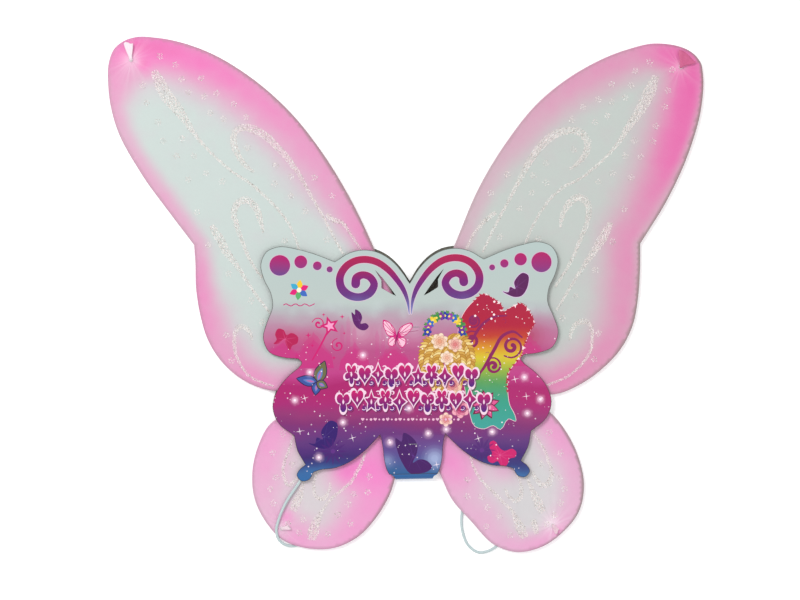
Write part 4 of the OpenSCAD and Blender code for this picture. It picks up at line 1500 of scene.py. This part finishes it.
def small_things(out):
    """The flower badge, the star wand, the pale and the blue butterfly, and the flower bursts."""
    for k, colour in enumerate(BADGE):
        turn = math.tau * k / 6 + 0.4
        out.add(leaf(*polar(-112, 78, 1.5, turn), 8.5, 5.6, turn), colour)
    out.add(circle(-112, 78, 2.4, 12), (250, 240, 220))
    wave = [(-127 + 2.5 * k, 63.5 + 1.1 * math.sin(k * 1.7), 0.9) for k in range(13)]
    out.add(stroke(wave, 3), (196, 40, 120))
    magenta = flat((206, 30, 116))
    out.add(stroke([(-99, 10, 1.4), (-91, 24, 1.7), (-84, 38, 1.7)], 3), magenta)
    out.add(star(-82, 43, 10, 5, 0.45, 0.3), magenta)
    out.add(star(-82, 43, 5.5, 5, 0.45, 0.3), (244, 160, 200))
    out.add(curl(-93, 45, 6.5, 1.3, 1.8, 1.0, 1), magenta)
    out.add(curl(-74, 24, 7, 1.3, 1.8, 3.6, -1), magenta)
    for x, y, r in SMALL_STARS:
        out.add(star(x, y, r, 4, 0.3), magenta)
    edge, root = flat((206, 48, 124)), np.array((-17, 33))
    for shape in PALE_BUTTERFLY:
        lobe = rounded(shape)
        out.add(lobe, edge)
        middle = np.mean(lobe, 0)
        out.add([tuple(middle + (np.array(p) - middle) * 0.84) for p in lobe], (246, 196, 216))
        for k in range(1, len(lobe), 4):
            end = middle + (np.array(lobe[k]) - middle) * 0.9
            out.add(stroke([(*root, 0.8), (*((root + end) / 2), 0.6), (*end, 0.4)], 2), edge)
    for line in (
        [(-18.5, 25, 0.8), (-17, 31, 1.8), (-15.5, 37, 1.0)],
        [(-15.5, 37, 0.4), (-8, 37, 0.4), (4, 38.5, 0.4)],
    ):
        out.add(stroke(line, 3), (150, 30, 100))
    olive, blue = (112, 112, 78), (70, 92, 160)
    for length, width, turn, colour in (
        (22, 11, 1.22, olive), (20, 9.5, 2.95, blue), (12, 8, -1.7, blue), (11, 8, -0.45, olive)
    ):
        shape = leaf(-94.5, -12, length, width, turn)
        out.add(grown(shape, 0.9), (62, 34, 84))
        out.add(shape, colour)
        inner, core = polar(-94.5, -12, 2, turn), polar(-94.5, -12, 3, turn)
        out.add(leaf(*inner, length * 0.6, width * 0.45, turn), (104, 130, 190))
        out.add(leaf(*core, length * 0.4, width * 0.2, turn), (190, 110, 170))
    for x, y in ((-79, -79), (66, -78)):
        for k in range(12):
            turn = math.tau * k / 12
            out.add(leaf(*polar(x, y, 2, turn), 12, 2.4, turn), (84, 34, 116), 0.55)
        out.add(circle(x, y, 2.2, 10), (110, 60, 140), 0.6)


def sparkle_print(out, limits):
    """Soft sparks, four-pointed stars and fine dots over everything below the clouds."""
    draw = random.Random("sparkle print")
    for x, y in SPARKS:
        out.halo(x, y, 6.5, (250, 214, 236), 0.62, (1, 0.5, 0.22), 16)
        out.add(circle(x, y, 1.1, 8), (255, 244, 250), 0.9)
    for x, y in STARS:
        out.add(star(x, y, 4.2, 4, 0.12, draw.uniform(0, 0.5)), (252, 236, 246), 0.85)
    (x0, y0), (x1, _) = limits
    for _ in range(420):
        x, y = draw.uniform(x0, x1), draw.uniform(y0, 36) - abs(draw.gauss(0, 6))
        dot = circle(x, y, draw.choice((0.3, 0.4, 0.55, 0.8)), 5)
        out.add(dot, (255, 240, 248), draw.uniform(0.4, 0.95))


# ---------------------------------------------------------------- the card itself

PRINT, BOARD = 0, 1  # the board's two materials
# A dark line painted round the rim of the card's top face, where its edge looks dark
EDGE_LINE_INK = flat((74, 70, 66), 0.8)


def without_cut(node, z):
    """One card half's outline at a height, from one end of its cut edge round to the other."""
    loop = anticlockwise(flat_loops(node, z)[0])
    cut = min(abs(p[0]) for p in loop) + 0.01
    return opened([p for p in loop if abs(p[0]) > cut and not (abs(p[0]) < 36 and 70 < p[1] < 100)])


def whole_outline(z):
    strip = flat_loops("card_spine", z)[0]
    bottom = sorted(p for p in strip if p[1] < 0)
    top = sorted((p for p in strip if p[1] > 0), reverse=True)
    return bottom + without_cut("card_right", z) + top + without_cut("card_left", z)


def cut_up(outline, shapes, holes=()):
    """Triangles of an outline cut along every shape, and which shapes hold each of them."""
    low, high = np.min(outline, 0), np.max(outline, 0)
    points, faces = [], []
    for loop in [outline, *holes, *shapes]:
        loop = anticlockwise(loop)
        faces.append(list(range(len(points), len(points) + len(loop))))
        points += loop
    edges = []
    for x in (-13, -11, -9, -7, -5, 0, 5, 7, 9, 11, 13):  # along the creases
        edges.append((len(points), len(points) + 1))
        points += [(x, low[1] - 5), (x, high[1] + 5)]
    verts, _, tris, _, _, held = geometry.delaunay_2d_cdt(
        [Vector(p) for p in points], edges, faces, 0, 1e-4, True
    )
    skip = len(holes) + 1
    out = []
    for tri, inputs in zip(tris, held):
        if 0 in inputs and not any(0 < i < skip for i in inputs):
            out.append((tri, sorted(i - skip for i in inputs if i >= skip)))
    return [(v.x, v.y) for v in verts], out


def blended(inks, x, y):
    """The print's colour and cover at one place, under all the inks that lie there."""
    colour, cover = np.zeros(3), 0.0
    for ink in inks:
        value = ink(x, y)
        alpha = value[3]
        total = alpha + cover * (1 - alpha)
        if total > 0:
            colour = (value[:3] * alpha + colour * cover * (1 - alpha)) / total
        cover = total
    return (*colour, cover)


class Board:
    """The two halves of the card, as faces with their material and print."""

    def __init__(self):
        self.halves = {side: ([], [], []) for side in SIDES}

    def add(self, corners, look, inks=None):
        side = "left" if sum(c[0] for c in corners) < 0 else "right"
        points, looks, held = self.halves[side]
        points.append(corners)
        looks.append(look)
        held.append(inks or [(0, 0, 0, 0)] * len(corners))

    def face(self, outline, z, up, look, prints=(), holes=()):
        """A flat face; outside a shape that has no ink, a dark line is painted along the print's
        rim.
        """
        xy, tris = cut_up(outline, [shape for shape, _ in prints], holes)
        clear_of_edge_line = {s for s, (_, ink) in enumerate(prints) if ink is None}
        cache = {}
        for tri, held in tris:
            inks = [prints[s][1] for s in held if s not in clear_of_edge_line]
            if clear_of_edge_line and not clear_of_edge_line & set(held):
                inks.append(EDGE_LINE_INK)
            corners, values = [], []
            for i in tri:
                key = (i, *held)
                if key not in cache:
                    cache[key] = blended(inks, *xy[i])
                corners.append((*xy[i], z))
                values.append(cache[key])
            self.add(corners if up else corners[::-1], look, values if up else values[::-1])

    def wall(self, loop, z0, z1, look, outwards=True):
        loop = anticlockwise(loop)
        if not outwards:
            loop = loop[::-1]
        for a, b in pairs(loop):
            on_fold = outwards and max(abs(a[0]), abs(b[0])) < 30 and max(a[1], b[1]) < -99
            if on_fold and abs(a[1] - b[1]) < abs(a[0] - b[0]) * 0.1:
                continue
            stops = [0.0, 1.0]
            if a[0] * b[0] < 0:
                stops.insert(1, a[0] / (a[0] - b[0]))
            for s, t in zip(stops, stops[1:]):
                p = (a[0] + (b[0] - a[0]) * s, a[1] + (b[1] - a[1]) * s)
                q = (a[0] + (b[0] - a[0]) * t, a[1] + (b[1] - a[1]) * t)
                self.add([(*p, z0), (*q, z0), (*q, z1), (*p, z1)], look)

    def grid(self, rows, look, flip=False):
        for low, high in zip(rows, rows[1:]):
            for a, b, c, d in zip(low, low[1:], high[1:], high):
                self.add([a, d, c, b] if flip else [a, b, c, d], look)

    def build(self, side, looks):
        """One half as a mesh, with its faces joined and its ink held on their corners."""
        points, kinds, held = self.halves[side]
        faces, at = [], 0
        for corners in points:
            faces.append(tuple(range(at, at + len(corners))))
            at += len(corners)
        flat_points = [p for corners in points for p in corners]
        made = mesh_object(f"card_{side}_board", flat_points, faces, looks)
        mesh = made.data
        mesh.polygons.foreach_set("material_index", kinds)
        ink = mesh.color_attributes.new("ink", "FLOAT_COLOR", "CORNER")
        colours = np.array([c for inks in held for c in inks], np.float32)
        ink.data.foreach_set("color", colours.ravel())
        work = bmesh.new()
        work.from_mesh(mesh)
        bmesh.ops.remove_doubles(work, verts=work.verts, dist=2e-6)
        work.to_mesh(mesh)
        work.free()
        mesh.set_sharp_from_angle(angle=math.radians(25))
        return made


board = Board()
front_top = FRONT_Z + BOARD_T
front_outline = whole_outline(front_top)
slot = flat_loops("card_left", front_top)[1]
slots = [slot, [mirrored(p) for p in slot]]
front = Print()
for draw_part in (scene_behind, border_print, small_things, big_wing, bouquet, decorated_rows):
    draw_part(front)
sparkle_print(front, (np.min(front_outline, 0), np.max(front_outline, 0)))
# Inside this inset outline no dark edge line is painted
front.append((grown(front_outline, -0.55), None))
board.face(front_outline, front_top, True, PRINT, front, slots)
board.face(front_outline, FRONT_Z, False, BOARD, (), slots)
board.wall(front_outline, FRONT_Z, front_top, BOARD)
for loop in slots:
    board.wall(loop, FRONT_Z, front_top, BOARD, outwards=False)

back_outline = whole_outline(BACK_Z)
back = Print()
border_print(back)
dents = [loop for loop in flat_loops("card_spine", BACK_Z)[1:] if around(loop) > 15]
board.face(back_outline, BACK_Z, False, PRINT, back, dents)
board.face(back_outline, BOARD_T, True, BOARD)
board.wall(back_outline, BACK_Z, BOARD_T, BOARD)
for loop in dents:
    board.wall(loop, BACK_Z, DENT_Z, BOARD, outwards=False)
    board.face(loop, DENT_Z, False, BOARD)

# The fold below the tongue: rows of points from the front leaf round to the back leaf
FOLD_Z = front_top / 2
FOLD_ROWS, FOLD_COLS = 32, 14
fold_y = min(np.array(p) @ AXIS for p in front_outline if abs(p[0]) < 15)
FOLD_HEIGHTS = [fold_y - 6.2, fold_y - 2.2, fold_y]
FOLD_LEFT, FOLD_RIGHT = [-17, -18.5, -22], [18, 20, 24]


def fold_rows(radius, side):
    rows = []
    for k in range(FOLD_ROWS + 1):
        turn = math.pi / 2 - math.pi * k / FOLD_ROWS
        y, z = fold_y - radius * math.cos(turn), FOLD_Z + radius * math.sin(turn)
        x0 = x1 = (y * math.sin(CARD_TURN) - CARD_X) / math.cos(CARD_TURN)
        if side == "left":
            x0 = np.interp(y, FOLD_HEIGHTS, FOLD_LEFT)
        else:
            x1 = np.interp(y, FOLD_HEIGHTS, FOLD_RIGHT)
        across = [x0 + (x1 - x0) * j / FOLD_COLS for j in range(FOLD_COLS + 1)]
        rows.append([(*card_point(x, y), z) for x in across])
    return rows


card_looks = [
    printed_card("printed_card"), greyboard("card_edge", rgb(112, 110, 100), rgb(72, 70, 62))
]
for side in SIDES:
    outer, inner = fold_rows(FOLD_Z, side), fold_rows(FOLD_Z - BOARD_T, side)
    board.grid(outer, PRINT, flip=True)
    board.grid(inner, BOARD)
    edge = 0 if side == "left" else -1
    end = [[row[edge] for row in outer], [row[edge] for row in inner]]
    board.grid(end, BOARD, flip=side == "right")
for side in SIDES:
    half = board.build(side, card_looks)
    sign = -1 if side == "left" else 1
    start, stop = (sign * 0.005, 0, 0.005), (sign * 0.013, 0, 0.005)
    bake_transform(half)
    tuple(start)
    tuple(stop)
    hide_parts(f"card_{side}")
    if side == "left":
        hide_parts("card_spine")

# ---------------------------------------------------------------- floor and end

FLOOR, FLOOR_Z = 3000, -0.3
paper = Look("paper_floor", Roughness=0.9, Emission_Color=(1, 1, 1, 1), Emission_Strength=0.22)
paper.colour(paper.ramp(paper.noise(3, 2), [(0.0, (0.93, 0.93, 0.93)), (1.0, (0.95, 0.95, 0.95))]))
corners = [(x * FLOOR, y * FLOOR, FLOOR_Z) for x, y in ((-1, -1), (1, -1), (1, 1), (-1, 1))]
floor = mesh_object("floor", corners, [(0, 1, 2, 3)], [paper.material])
